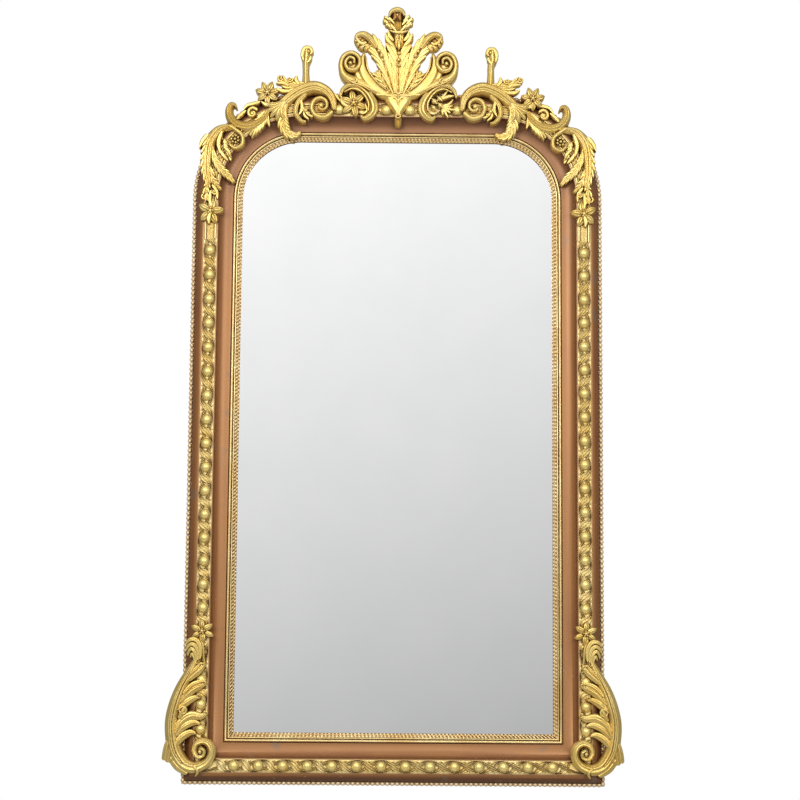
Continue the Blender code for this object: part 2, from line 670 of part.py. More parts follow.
def foot_scroll_carving(half):
    """The long scroll that sweeps down over the lower corner and winds into a volute."""
    half.flower(0, 0, 11.5, 6, 58, 25.0, 0.3)
    half.stroke([(4, -4, 1.8, 54), (0.5, -18, 1.8, 54), (1, -31, 1.4, 54)])
    half.fluted([(14, -17, 2.4, 54), (11.5, -9.5, 4, 56), (5.4, -14, 3.8, 58), (4, -27, 3.6, 58)])
    half.fluted([(4.5, -27, 3, 56), (12.6, -42, 5.2, 58), (20.6, -58, 6.6, 60), (26, -74, 7, 62),
                 (29.5, -90, 6.6, 62), (29.5, -106, 6.2, 62), (26, -121, 6.2, 62), (17, -132.5, 6.6, 62),
                 (4.5, -137, 6.6, 62), (-7, -130.5, 5.6, 62), (-12, -119, 4.6, 62), (-6, -109.5, 3.9, 62),
                 (3, -110, 3.8, 62), (5, -118, 3.2, 62), (0, -122.5, 2.4, 62)])
    half.boss(-2, -117, 3.4, 64)
    half.stroke([(27, -106, 3, 57), (29.2, -114, 5, 59), (31, -122, 5.6, 58), (32.2, -128.5, 4, 55)])
    half.stroke([(29, -125, 4, 56), (22, -134.5, 4.4, 56), (12, -141, 3, 54)])
    leaves = (((12, -47, 3, 58), (6, -41, 3.2, 58), (0, -36, 1.2, 54)),
              ((17, -65, 3.4, 58), (8, -58, 4, 58), (-1, -54, 1.6, 54)),
              ((18, -74, 3, 58), (11, -70, 3.4, 58), (4, -67, 1.2, 54)),
              ((22, -84, 2.4, 58), (18.5, -80, 2.8, 60), (15.5, -76, 1.6, 58)),
              ((22, -97, 4, 60), (17, -88, 5, 60), (8, -84, 4.4, 58), (-2, -85.5, 3, 56), (-7, -80, 1, 52)),
              ((22, -103, 3, 58), (13, -95, 3.4, 58), (1, -92.5, 1.2, 54)),
              ((22, -113, 3.4, 60), (15, -105, 3.6, 58), (6.5, -101.5, 1.2, 54)))
    for leaf in leaves:
        half.stroke(leaf)


# From strokes to one solid that sits on the moulding

def frame_envelope():
    """The whole moulding grown by the clearance, for cutting the seats of the ornaments."""
    sight_top = SIGHT_BEAD_HEIGHT + CLEARANCE
    edge_top = EDGE_SEAT_HEIGHT + EDGE_BEAD_DIAMETER + 2 * CLEARANCE
    band_top = BAND_HEIGHT + CLEARANCE
    outer = RAIL_WIDTH + CLEARANCE
    profile = [(-CLEARANCE, -CLEARANCE), (-CLEARANCE, sight_top), (SIGHT_EDGE_WIDTH + CLEARANCE, sight_top)]
    for offset, height in cove_points(SEAT_COVE_STEPS):
        profile.append((offset - CLEARANCE, height + CLEARANCE))
    profile += [(CHANNEL_INNER, band_top), (CHANNEL_OUTER, band_top)]
    for offset, height in slope_points():
        profile.append((offset + CLEARANCE, height + CLEARANCE))
    profile += [(outer - EDGE_BEAD_DIAMETER, edge_top), (outer, edge_top), (outer, -CLEARANCE)]
    return sweep(profile, closed_outline, closed=True)


def largest_piece(mesh):
    """Keep the largest connected piece of a carving and drop loose chips."""
    builder = bmesh.new()
    builder.from_mesh(mesh)
    unseen = set(builder.verts)
    pieces = []
    while unseen:
        start = unseen.pop()
        piece = {start}
        front = [start]
        while front:
            vertex = front.pop()
            for edge in vertex.link_edges:
                other = edge.other_vert(vertex)
                if other in unseen:
                    unseen.remove(other)
                    piece.add(other)
                    front.append(other)
        pieces.append(piece)
    pieces.sort(key=len)
    loose = [vertex for piece in pieces[:-1] for vertex in piece]
    bmesh.ops.delete(builder, geom=loose, context="VERTS")
    builder.to_mesh(mesh)
    builder.free()


def apply_modifiers(item):
    bpy.context.view_layer.update()
    graph = bpy.context.evaluated_depsgraph_get()
    mesh = bpy.data.meshes.new_from_object(item.evaluated_get(graph))
    item.modifiers.clear()
    old = item.data
    item.data = mesh
    bpy.data.meshes.remove(old)


def carved_ornament(name, drawings, triangles, material):
    """Fuse the strokes into one solid, simplify it and cut the seat that fits the moulding."""
    builder = bmesh.new()
    for drawing in drawings:
        bmesh.ops.recalc_face_normals(drawing.builder, faces=drawing.builder.faces)
        mesh = finish_mesh(drawing.builder)
        builder.from_mesh(mesh)
        bpy.data.meshes.remove(mesh)
    item = make_object(name, finish_mesh(builder), material)
    fuse = item.modifiers.new("fuse", "REMESH")
    fuse.mode = "VOXEL"
    fuse.voxel_size = CARVING_VOXEL
    apply_modifiers(item)
    largest_piece(item.data)
    simplify = item.modifiers.new("simplify", "DECIMATE")
    simplify.ratio = triangles / (2 * len(item.data.polygons))
    apply_modifiers(item)
    envelope = make_object("envelope", frame_envelope(), material)
    boolean(item, envelope, "DIFFERENCE", "MANIFOLD")
    places = side_balls(-1) + side_balls(1) + top_balls() + bottom_balls()
    near = [place for place in places if is_near(place, item)]
    boolean(item, make_object("near_balls", ball_cutter_mesh(near), material), "DIFFERENCE", "MANIFOLD")
    largest_piece(item.data)
    item.data.materials.clear()
    item.data.materials.append(material)
    item.data.shade_smooth()
    item.data.set_sharp_from_angle(angle=math.radians(CARVING_CREASE_DEGREES))
    return item


def is_near(place, item):
    corners = [item.matrix_world @ vertex.co for vertex in item.data.vertices]
    reach = BALL_DIAMETER
    low_x = min(corner.x for corner in corners) - reach
    high_x = max(corner.x for corner in corners) + reach
    low_z = min(corner.z for corner in corners) - reach
    high_z = max(corner.z for corner in corners) + reach
    return low_x < place[0] < high_x and low_z < place[1] < high_z


def build_frame(wood, gilt, antique):
    make_object("frame_body", sweep(frame_profile(), closed_outline, closed=True), wood, 35)
    make_object("sight_edge", sweep(sight_profile(), closed_outline, closed=True), gilt, 50)
    make_object("edge_beading", sweep(edge_profile(), closed_outline, closed=True), antique, 50)
    ball_band("ball_band_left", side_run(-1), side_balls(-1), side_knots(-1), gilt)
    ball_band("ball_band_right", side_run(1), side_balls(1), side_knots(1), gilt)
    ball_band("ball_band_top", top_run, top_balls(), (), gilt)
    ball_band("ball_band_bottom", bottom_run, bottom_balls(), bottom_knots(), gilt)


def build_plates(glass, board):
    make_object("mirror_glass", plate_mesh(GLASS_BACK, GLASS_FRONT), glass)
    make_object("backboard", plate_mesh(BOARD_INSET, BOARD_FRONT), board)


def join_top_drawings(scroll, leaf):
    """The arm that ties the shoulder scroll to the corner leaf."""
    end_x, end_z = leaf.on_grid_of(scroll, 83, -19.5)
    leaf.stroke([(end_x, end_z, 4, 58), ((end_x - 11) / 2, (end_z + 82) / 2, 3.6, 58), (-11, 82, 3, 58)])


def build_ornaments(gilt):
    crest_place = (0.0, FRAME_TOP + CREST_ABOVE_RAIL)
    halves = [Drawing(crest_place, CREST_WIDTH, CREST_HEIGHT, CREST_GRID, side) for side in (-1, 1)]
    crest_carving(*halves)
    carved_ornament("crest", halves, CREST_TRIANGLES, gilt)
    for side, word, lean in ((-1, "left", 0.0), (1, "right", 2.0)):
        place = (BAND_LINE * SHOULDER_OUT_SHARE, FRAME_TOP - SHOULDER_BELOW_TOP)
        scroll = Drawing(place, SHOULDER_WIDTH, SHOULDER_HEIGHT, SHOULDER_GRID, side)
        shoulder_carving(scroll, lean)
        place = (BAND_LINE, FRAME_TOP - CORNER_LEAF_BELOW_TOP)
        leaf = Drawing(place, CORNER_LEAF_WIDTH, CORNER_LEAF_HEIGHT, CORNER_LEAF_GRID, side)
        corner_leaf_carving(leaf)
        join_top_drawings(scroll, leaf)
        carved_ornament("shoulder_carving_" + word, [scroll, leaf], SHOULDER_TRIANGLES, gilt)
        place = (BAND_LINE, FOOT_LEVEL)
        foot = Drawing(place, FOOT_SCROLL_WIDTH, FOOT_SCROLL_HEIGHT, FOOT_SCROLL_GRID, side)
        foot_scroll_carving(foot)
        carved_ornament("foot_scroll_" + word, [foot], FOOT_TRIANGLES, gilt)


def main():
    clear_scene()
    wood = make_material("copper_brown_wood", WOOD_COLOUR, 0.38, 0.0)
    gilt = make_material("gilt", GILT_COLOUR, 0.32, 0.85)
    antique = make_material("antique_gilt", ANTIQUE_GILT_COLOUR, 0.45, 0.7)
    glass = make_material("silvered_glass", GLASS_COLOUR, 0.02, 1.0)
    board = make_material("board", BOARD_COLOUR, 0.7, 0.0)
    build_frame(wood, gilt, antique)
    build_plates(glass, board)
    build_ornaments(gilt)


main()
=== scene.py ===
from math import atan2, copysign, cos, dist, floor, hypot, pi, radians, sin, sqrt

import bmesh
import bpy
import numpy as np
from mathutils import Matrix, Vector


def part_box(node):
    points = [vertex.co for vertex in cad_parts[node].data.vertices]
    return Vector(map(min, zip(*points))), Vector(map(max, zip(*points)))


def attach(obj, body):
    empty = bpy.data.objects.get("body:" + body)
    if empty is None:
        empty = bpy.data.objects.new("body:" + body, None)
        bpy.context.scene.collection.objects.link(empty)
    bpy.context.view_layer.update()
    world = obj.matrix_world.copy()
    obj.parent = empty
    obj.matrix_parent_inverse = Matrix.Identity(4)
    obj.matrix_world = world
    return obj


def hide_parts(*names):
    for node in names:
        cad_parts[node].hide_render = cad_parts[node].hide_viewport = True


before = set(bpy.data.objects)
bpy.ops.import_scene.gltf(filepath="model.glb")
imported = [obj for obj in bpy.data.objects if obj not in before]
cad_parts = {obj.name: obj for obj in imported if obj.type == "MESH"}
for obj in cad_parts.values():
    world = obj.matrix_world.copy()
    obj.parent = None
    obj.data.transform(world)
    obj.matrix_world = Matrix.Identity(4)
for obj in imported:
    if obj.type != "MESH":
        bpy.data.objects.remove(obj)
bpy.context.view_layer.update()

# Sizes in metres: places across the rail count outwards from the sight edge, heights from the wall
SIGHT_EDGE_WIDTH = 0.0232
SIGHT_CORNER_RADIUS = 0.156
RAIL_WIDTH = 0.132
REBATE_WIDTH = 0.012
TONGUE_FRONT = 0.0138
REBATE_DEPTH = 0.0108
COVE_INNER = 0.0250
COVE_OUTER = 0.0615
COVE_FLOOR = 0.020
LAND_HEIGHT = 0.0425
BAND_INNER = 0.0633
BAND_OUTER = 0.0992
BAND_HEIGHT = 0.044
BAND_BACK = 0.0403
SLOPE_INNER = 0.1010
SLOPE_OUTER = 0.1209
SLOPE_FOOT = 0.025
EDGE_SEAT = 0.013
EDGE_BEAD_DIAMETER = 0.0108
EDGE_BEAD_PITCH = 0.0126
SIDE_FACE = 0.1305
BACK_CHAMFER = 0.002
PIECE_GAP = 0.0003
BALL_DIAMETER = 0.0243
BALL_RISE = 0.0095
BALL_PITCH_SIDE = 0.0621
BALL_PITCH_LEVEL = 0.0625
SIDE_BALLS_FROM_TOP = 0.302
LEFT_BALL_DRIFT = 0.0135
FOOT_FLOWER_HEIGHT = 0.390

# Places worked out from the box of the sight edge
SIGHT_LOW, SIGHT_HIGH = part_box("sight_edge")
HALF_SIGHT = SIGHT_HIGH[0] - SIGHT_EDGE_WIDTH
SIGHT_TOP = SIGHT_HIGH[2] - SIGHT_EDGE_WIDTH
SIGHT_BOTTOM = SIGHT_LOW[2] + SIGHT_EDGE_WIDTH
FRAME_TOP = SIGHT_TOP + RAIL_WIDTH
FRAME_BOTTOM = SIGHT_BOTTOM - RAIL_WIDTH
ARC_X = HALF_SIGHT - SIGHT_CORNER_RADIUS
ARC_Z = SIGHT_TOP - SIGHT_CORNER_RADIUS
BAND_CENTRE = (BAND_INNER + BAND_OUTER) / 2
BAND_LINE = HALF_SIGHT + BAND_CENTRE
FOOT_LEVEL = FRAME_BOTTOM + FOOT_FLOWER_HEIGHT

# The camera of the photograph: place in metres, lens and sensor in millimetres, turns in degrees
CAMERA_PLACE = (-0.0135, -4.6, -1.2921)
CAMERA_LENS = 79.15
CAMERA_SENSOR = 36.0
CAMERA_YAW = 0.304
CAMERA_PITCH = 6.646
CAMERA_ROLL = 0.424


# Materials and the calls that build them

class Nodes:
    """Short calls for the nodes of one tree."""

    def __init__(self, tree):
        self.tree = tree

    def node(self, kind, **values):
        item = self.tree.nodes.new(kind)
        for key, value in values.items():
            if key in item.inputs:
                item.inputs[key].default_value = value
            else:
                setattr(item, key, value)
        return item

    def link(self, output, target):
        self.tree.links.new(output, target)

    def axis(self, vector, letter):
        """One coordinate of a vector."""
        item = self.node("ShaderNodeSeparateXYZ")
        self.link(vector, item.inputs["Vector"])
        return item.outputs[letter]

    def remap(self, value, low, high, new_low, new_high):
        item = self.node("ShaderNodeMapRange")
        for slot, number in zip(("From Min", "From Max", "To Min", "To Max"), (low, high, new_low, new_high)):
            item.inputs[slot].default_value = number
        self.link(value, item.inputs["Value"])
        return item.outputs["Result"]

    def combine(self, operation, first, second):
        item = self.node("ShaderNodeMath", operation=operation)
        self.link(first, item.inputs[0])
        self.link(second, item.inputs[1])
        return item.outputs["Value"]

    def within(self, value, low, full_from, full_to, high):
        """One inside a span and zero outside it, with soft ends."""
        rising = self.remap(value, low, full_from, 0.0, 1.0)
        falling = self.remap(value, full_to, high, 1.0, 0.0)
        return self.combine("MULTIPLY", rising, falling)

    def mix(self, factor, first, second):
        item = self.node("ShaderNodeMix", data_type="RGBA")
        for source, slot in ((factor, 0), (first, 6), (second, 7)):
            if hasattr(source, "links"):
                self.link(source, item.inputs[slot])
            else:
                item.inputs[slot].default_value = (*source, 1.0)
        return item.outputs[2]


class Shader(Nodes):
    """A Principled material with its textures."""

    def __init__(self, name, roughness=0.4, metallic=0.0, coat=0.0):
        self.material = bpy.data.materials.new(name)
        self.material.use_nodes = True
        super().__init__(self.material.node_tree)
        self.surface = self.tree.nodes["Principled BSDF"]
        self.surface.inputs["Roughness"].default_value = roughness
        self.surface.inputs["Metallic"].default_value = metallic
        self.surface.inputs["Coat Weight"].default_value = coat

    def place(self):
        return self.node("ShaderNodeTexCoord").outputs["Object"]

    def scaled(self, vector, scale):
        mapping = self.node("ShaderNodeMapping", Scale=scale)
        self.link(vector, mapping.inputs["Vector"])
        return mapping.outputs["Vector"]

    def noise(self, vector, scale, detail=4.0, roughness=0.55):
        item = self.node("ShaderNodeTexNoise", Scale=scale, Detail=detail, Roughness=roughness)
        self.link(vector, item.inputs["Vector"])
        return item.outputs["Fac"]

    def ramp(self, value, *stops):
        item = self.node("ShaderNodeValToRGB")
        band = item.color_ramp
        while len(band.elements) < len(stops):
            band.elements.new(0.5)
        for element, (position, colour) in zip(band.elements, stops):
            element.position = position
            element.color = (*colour, 1.0)
        self.link(value, item.inputs["Fac"])
        return item.outputs["Color"]

    def hollow(self, reach):
        """How open the surface is, from 0 in a recess to 1 on a crown."""
        return self.node("ShaderNodeAmbientOcclusion", Distance=reach, samples=6).outputs["AO"]

    def tint(self, base, colour, value, low, high, share):
        """The base, turned towards a colour by up to a share while a value goes from low to high."""
        return self.mix(self.remap(value, low, high, 0.0, share), base, colour)

    def finish(self, colour, rough_source, rough_low, rough_high, bump, depth):
        """Connect the colour, a roughness that follows a texture, and the same texture as a bump."""
        self.link(colour, self.surface.inputs["Base Color"])
        self.link(self.remap(rough_source, 0.3, 0.7, rough_low, rough_high), self.surface.inputs["Roughness"])
        if bump:
            item = self.node("ShaderNodeBump", Strength=bump, Distance=depth)
            self.link(rough_source, item.inputs["Height"])
            self.link(item.outputs["Normal"], self.surface.inputs["Normal"])
        return self.material


def gilt_material(name, crown, body, recess, reach, metallic=0.8, open_from=0.30, open_to=0.84, specks=0.60):
    """Gold leaf over a brown ground: bright crowns and brown in the recesses, that brown partly the ground
    itself and partly painted shade; rubbed a little.
    """
    shader = Shader(name, metallic=metallic)
    place = shader.place()
    fine = shader.noise(place, 160.0, 6.0, 0.65)
    gold = shader.tint(body, crown, shader.noise(place, 14.0, 3.0), 0.35, 0.65, 1.0)
    # Partly real and partly painted shade: where occlusion is high the gold turns to the brown of the ground.
    shaded = shader.tint(recess, gold, shader.hollow(reach), open_from, open_to, 1.0)
    rubbed = shader.tint(shaded, recess, fine, specks, specks + 0.14, 0.60)
    return shader.finish(rubbed, fine, 0.35, 0.53, 0.30, 0.0005)


def copper_material():
    """Copper-brown varnish, streaked, stained and chipped, with painted light: lighter where it faces the
    front, painted shade on steep sides, undersides and in recesses, and darker towards the top.
    """
    shader = Shader("copper_brown_varnish", metallic=0.35, coat=0.12)
    shader.surface.inputs["Coat Roughness"].default_value = 0.35
    along = shader.node("ShaderNodeTexCoord").outputs["UV"]
    streak = shader.noise(shader.scaled(along, (3.0, 260.0, 1.0)), 1.0, 5.0, 0.6)
    place = shader.place()
    normal = shader.node("ShaderNodeNewGeometry").outputs["Normal"]
    facing = shader.axis(normal, "Y")
    look = shader.ramp(streak, (0.30, (0.290, 0.112, 0.030)), (0.52, (0.362, 0.150, 0.042)),
                       (0.75, (0.430, 0.190, 0.060)))
    clouds = ((0.270, 0.100, 0.034), shader.noise(place, 5.5, 4.0), 0.42, 0.66, 0.62)
    # Painted light: faces that look straight out are painted lighter.
    painted_front_light = ((0.500, 0.245, 0.088), facing, -0.84, -1.0, 0.55)
    # Painted shade: steep sides are painted darker.
    painted_steep_shade = ((0.150, 0.058, 0.018), facing, -0.88, -0.25, 0.8)
    # Painted shade: faces that look downwards are painted darker.
    painted_underside_shade = ((0.110, 0.036, 0.008), shader.axis(normal, "Z"), -0.15, -0.75, 0.7)
    # Darker towards the top of the frame.
    darker_towards_top = ((0.170, 0.078, 0.048), shader.axis(place, "Z"), -0.50, -0.08, 0.42)
    stains = ((0.230, 0.170, 0.120), shader.noise(place, 16.0, 3.0, 0.5), 0.64, 0.72, 0.45)
    chips = ((0.50, 0.33, 0.20), shader.noise(place, 95.0, 3.0, 0.5), 0.72, 0.75, 0.8)
    # Real tone, stains and chips, together with painted light and painted shade.
    tones_and_painted_light = (clouds, painted_front_light, painted_steep_shade, painted_underside_shade, darker_towards_top, stains, chips)
    for colour, value, low, high, share in tones_and_painted_light:
        look = shader.tint(look, colour, value, low, high, share)
    # Painted shade: darker in recesses and beside the band, where occlusion is high.
    with_painted_recess_shade = shader.tint((0.120, 0.048, 0.018), look, shader.hollow(0.030), 0.30, 0.90, 1.0)
    return shader.finish(with_painted_recess_shade, streak, 0.38, 0.50, 0.12, 0.0005)


def raw_wood_material(name, dark, light):
    """Plain unfinished wood with upright grain."""
    shader = Shader(name)
    grain = shader.noise(shader.scaled(shader.place(), (120.0, 120.0, 4.0)), 1.0, 6.0, 0.6)
    wood = shader.ramp(grain, (0.25, dark), (0.7, light))
    stained = shader.tint(wood, dark, shader.noise(shader.place(), 3.0, 4.0), 0.45, 0.75, 0.5)
    return shader.finish(stained, grain, 0.62, 0.8, 0.3, 0.0008)


def mirror_material():
    """Silvered glass, very slightly uneven."""
    shader = Shader("silvered_glass", metallic=1.0)
    cloud = shader.noise(shader.place(), 5.0, 3.0)
    silver = shader.ramp(cloud, (0.3, (0.93, 0.935, 0.935)), (0.7, (0.96, 0.962, 0.962)))
    return shader.finish(silver, cloud, 0.010, 0.018, 0.0, 0.0)


COPPER = copper_material()
GILT = gilt_material("gilt_carving", (0.88, 0.68, 0.25), (0.80, 0.57, 0.16), (0.25, 0.125, 0.03), 0.009)
# A dark copy of the gilt: painted shade for the hollows under curled leaf tips, which are only in shadow.
GILT_SHADE = gilt_material("gilt_painted_shade", (0.38, 0.20, 0.055), (0.27, 0.125, 0.03), (0.10, 0.04, 0.012),
                           0.008)
GILT_BAND = gilt_material("gilt_band", (1.00, 0.82, 0.38), (0.97, 0.74, 0.27), (0.20, 0.10, 0.025), 0.0045,
                          metallic=0.6, open_from=0.44, specks=0.66)
GILT_BALL = gilt_material("gilt_ball", (1.00, 0.80, 0.30), (1.00, 0.76, 0.26), (0.30, 0.16, 0.04), 0.0045,
                          metallic=0.6, open_from=0.10, open_to=0.42, specks=0.68)
GILT_RIM = gilt_material("gilt_rim", (0.66, 0.44, 0.20), (0.56, 0.35, 0.15), (0.25, 0.12, 0.04), 0.0045,
                         metallic=0.35)
GILT_SIGHT = gilt_material("gilt_sight", (1.00, 0.82, 0.42), (0.88, 0.64, 0.28), (0.15, 0.07, 0.025), 0.0045)
GILT_LIP = gilt_material("gilt_lip", (0.98, 0.78, 0.40), (0.86, 0.60, 0.26), (0.22, 0.095, 0.028), 0.006,
                         metallic=0.5, open_from=0.52, open_to=0.86, specks=0.56)
GILT_OLD = gilt_material("antique_gilt", (0.94, 0.74, 0.46), (0.80, 0.57, 0.31), (0.18, 0.09, 0.035), 0.004,
                         metallic=0.4)
RAW_WOOD = raw_wood_material("raw_frame_back", (0.20, 0.115, 0.06), (0.36, 0.23, 0.13))
BOARD_WOOD = raw_wood_material("board_wood", (0.26, 0.17, 0.10), (0.44, 0.31, 0.19))


# Pieces

def link_object(name, data):
    item = bpy.data.objects.new(name, data)
    bpy.context.scene.collection.objects.link(item)
    return item


def add_piece(name, mesh, slot, *nodes, materials=(), smooth=60):
    """A piece on the body root that takes the place of its nodes, with sharp edges over an angle."""
    piece = link_object(name, mesh)
    for material in materials:
        mesh.materials.append(material)
    mesh.shade_smooth()
    mesh.set_sharp_from_angle(angle=radians(smooth))
    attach(piece, "root")
    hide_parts(*nodes)


def finish_mesh(builder):
    mesh = bpy.data.meshes.new("mesh")
    builder.to_mesh(mesh)
    builder.free()
    return mesh


def add_copy(builder, template, matrix):
    """Add a moved copy of a mesh."""
    copy = template.copy()
    copy.transform(matrix)
    builder.from_mesh(copy)
    bpy.data.meshes.remove(copy)


def grid_mesh(points, close_rows, close_columns, uv=None):
    """A mesh of quads over rows of points; rows and columns may join up at their ends."""
    rows, columns = points.shape[:2]
    index = np.arange(rows * columns).reshape(rows, columns)
    if close_rows:
        index = np.vstack([index, index[:1]])
    if close_columns:
        index = np.hstack([index, index[:, :1]])
    quads = np.stack([index[:-1, :-1], index[:-1, 1:], index[1:, 1:], index[1:, :-1]], axis=-1).reshape(-1, 4)
    mesh = bpy.data.meshes.new("mesh")
    mesh.from_pydata(points.reshape(-1, 3).tolist(), [], quads.tolist())
    if uv is not None:
        layer = mesh.uv_layers.new(name="path")
        corner = np.zeros(len(mesh.loops), dtype=np.int32)
        mesh.loops.foreach_get("vertex_index", corner)
        layer.data.foreach_set("uv", uv.reshape(-1, 2)[corner].astype(np.float32).ravel())
    return mesh


# Routes round the frame, as functions of the distance outside the sight edge

ARC_STEPS = 40


def route_stations(step, closed, offset=0.0):
    """Stations round the outline: (kind, value), from the lower left corner over the top."""
    arc_count = max(int((SIGHT_CORNER_RADIUS + offset) * pi / 2 / step), ARC_STEPS)
    side_length = ARC_Z - SIGHT_BOTTOM
    side_count = max(int(side_length / step), 1)
    top_count = max(int(2 * ARC_X / step), 1)
    stations = [("left", n / side_count) for n in range(side_count)]
    stations += [("arc_left", n / arc_count) for n in range(arc_count)]
    stations += [("top", n / top_count) for n in range(top_count)]
    stations += [("arc_right", n / arc_count) for n in range(arc_count)]
    stations += [("right", n / side_count) for n in range(side_count + 1)]
    if closed:
        low_count = max(int(2 * HALF_SIGHT / step), 1)
        stations += [("bottom", n / low_count) for n in range(1, low_count)]
    return stations


def station_point(station, offset):
    """The x and z of a station at this distance outside the sight edge."""
    kind, share = station
    across = HALF_SIGHT + offset
    low = SIGHT_BOTTOM - offset
    radius = SIGHT_CORNER_RADIUS + offset
    if kind == "left":
        return (-across, low + (ARC_Z - low) * share)
    if kind == "right":
        return (across, ARC_Z + (low - ARC_Z) * share)
    if kind == "top":
        return (-ARC_X + 2 * ARC_X * share, ARC_Z + radius)
    if kind == "bottom":
        return (across - 2 * across * share, low)
    angle = pi / 2 * share
    if kind == "arc_left":
        return (-ARC_X - radius * cos(angle), ARC_Z + radius * sin(angle))
    return (ARC_X + radius * sin(angle), ARC_Z + radius * cos(angle))


def lengths_along(points):
    """The distance from the first point to each one, along the line through them."""
    return np.concatenate([[0.0], np.cumsum([dist(a, b) for a, b in zip(points, points[1:])])])


def route_lengths(stations, offset):
    return lengths_along([station_point(station, offset) for station in stations])


def moulding(profile, step):
    """A closed ring of moulding swept round the frame, with path coordinates for its grain."""
    stations = route_stations(step, closed=True)
    lengths = route_lengths(stations, RAIL_WIDTH / 2)
    girth = lengths_along(profile)
    points = np.zeros((len(profile), len(stations), 3))
    uv = np.zeros((len(profile), len(stations), 2))
    for row, (offset, height) in enumerate(profile):
        for column, station in enumerate(stations):
            x, z = station_point(station, offset)
            points[row, column] = (x, -height, z)
            uv[row, column] = (lengths[column], girth[row])
    return grid_mesh(points, True, True, uv)


def arc_profile(centre, base, radius, height, steps):
    """A half-round bead in a section, from its inner side to its outer side."""
    points = []
    for step in range(steps + 1):
        angle = pi - pi * step / steps
        points.append((centre + radius * cos(angle), base + (height - base) * sin(angle)))
    return points


# The wooden rail

RAIL_STEP = 0.25
COVE_STEPS = 18
SLOPE_STEPS = 10
SLOPE_SWELL = 0.18
TONGUE_MARGIN = 0.0015
CHANNEL_EASE = 0.0008
CHANNEL_DROP = 0.0006


def frame_profile():
    """The rail's section, from the tongue over the cove, the band's channel and the slope to the back."""
    profile = [(0.0, REBATE_DEPTH), (0.0, TONGUE_FRONT), (COVE_INNER - TONGUE_MARGIN, TONGUE_FRONT)]
    for step in range(COVE_STEPS + 1):
        angle = pi / 2 * step / COVE_STEPS
        offset = COVE_INNER + (COVE_OUTER - COVE_INNER) * sin(angle)
        profile.append((offset, LAND_HEIGHT - (LAND_HEIGHT - COVE_FLOOR) * cos(angle)))
    channel = [(BAND_INNER - CHANNEL_EASE, LAND_HEIGHT), (BAND_INNER - PIECE_GAP, LAND_HEIGHT - CHANNEL_DROP),
               (BAND_INNER - PIECE_GAP, BAND_BACK)]
    profile += channel
    profile += [(BAND_INNER + BAND_OUTER - offset, height) for offset, height in reversed(channel)]
    for step in range(SLOPE_STEPS + 1):
        share = step / SLOPE_STEPS
        fall = (LAND_HEIGHT - SLOPE_FOOT) * (share - SLOPE_SWELL * sin(pi * share))
        profile.append((SLOPE_INNER + (SLOPE_OUTER - SLOPE_INNER) * share, LAND_HEIGHT - fall))
    profile += [(SLOPE_OUTER, EDGE_SEAT), (SIDE_FACE, EDGE_SEAT)]
    profile += [(SIDE_FACE, BACK_CHAMFER), (SIDE_FACE - BACK_CHAMFER, 0.0)]
    profile += [(REBATE_WIDTH, 0.0), (REBATE_WIDTH, REBATE_DEPTH)]
    return profile


def build_frame_body():
    """The rail, varnished, with raw wood on the faces that look at the wall."""
    mesh = moulding(frame_profile(), RAIL_STEP)
    materials = (COPPER, RAW_WOOD)
    add_piece("frame_moulding", mesh, "copper_brown_wood", "frame_body", materials=materials, smooth=40)
    for face in mesh.polygons:
        if face.normal.y > 0.7:
            face.material_index = 1


# The gilt edge by the glass: a carved lip, a small bead and a plain bright bead

LIP_STEP = 0.0012
LIP_WIDTH = 0.0098
LIP_EDGE_HEIGHT = 0.0022
LIP_CROWN = 0.0044
LIP_LEAF_PITCH = 0.0095
LIP_LEAN = 0.45
LIP_RELIEF = 0.0050
LIP_SHARES = (0.0, 0.08, 0.20, 0.32, 0.44, 0.56, 0.68, 0.80, 0.92, 1.0)
GROOVE_INNER = 0.0150
GROOVE_OUTER = 0.0156
GROOVE_FLOOR = 0.0164
SMALL_BEAD = {"centre": 0.0125, "base": 0.0176, "radius": 0.0023, "height": 0.0208, "steps": 10}
BRIGHT_BEAD = {"centre": 0.0194, "base": 0.0186, "radius": 0.0036, "height": 0.0255, "steps": 14}
SIGHT_BEAD_STEP = 0.05


def lip_height(along, share):
    """The carved face of the lip: small leaning leaves, each with a vein, and a dark seed between them."""
    crown = LIP_EDGE_HEIGHT + LIP_CROWN * sin(pi / 2 * min(share * 1.2, 1.0))
    turn = along / LIP_LEAF_PITCH + LIP_LEAN * share
    phase = turn % 1.0
    leaf = abs(sin(pi * turn)) ** 1.3
    vein = 0.35 * max(0.0, 1.0 - abs(phase - 0.5) / 0.10)
    seed = 0.5 * max(0.0, 1.0 - hypot(phase - round(phase), (share - 0.35) * 1.2) / 0.22)
    edge = sin(pi * share) ** 0.5 if 0.0 < share < 1.0 else 0.0
    return crown - LIP_RELIEF * edge * (1.0 - leaf + vein - seed)


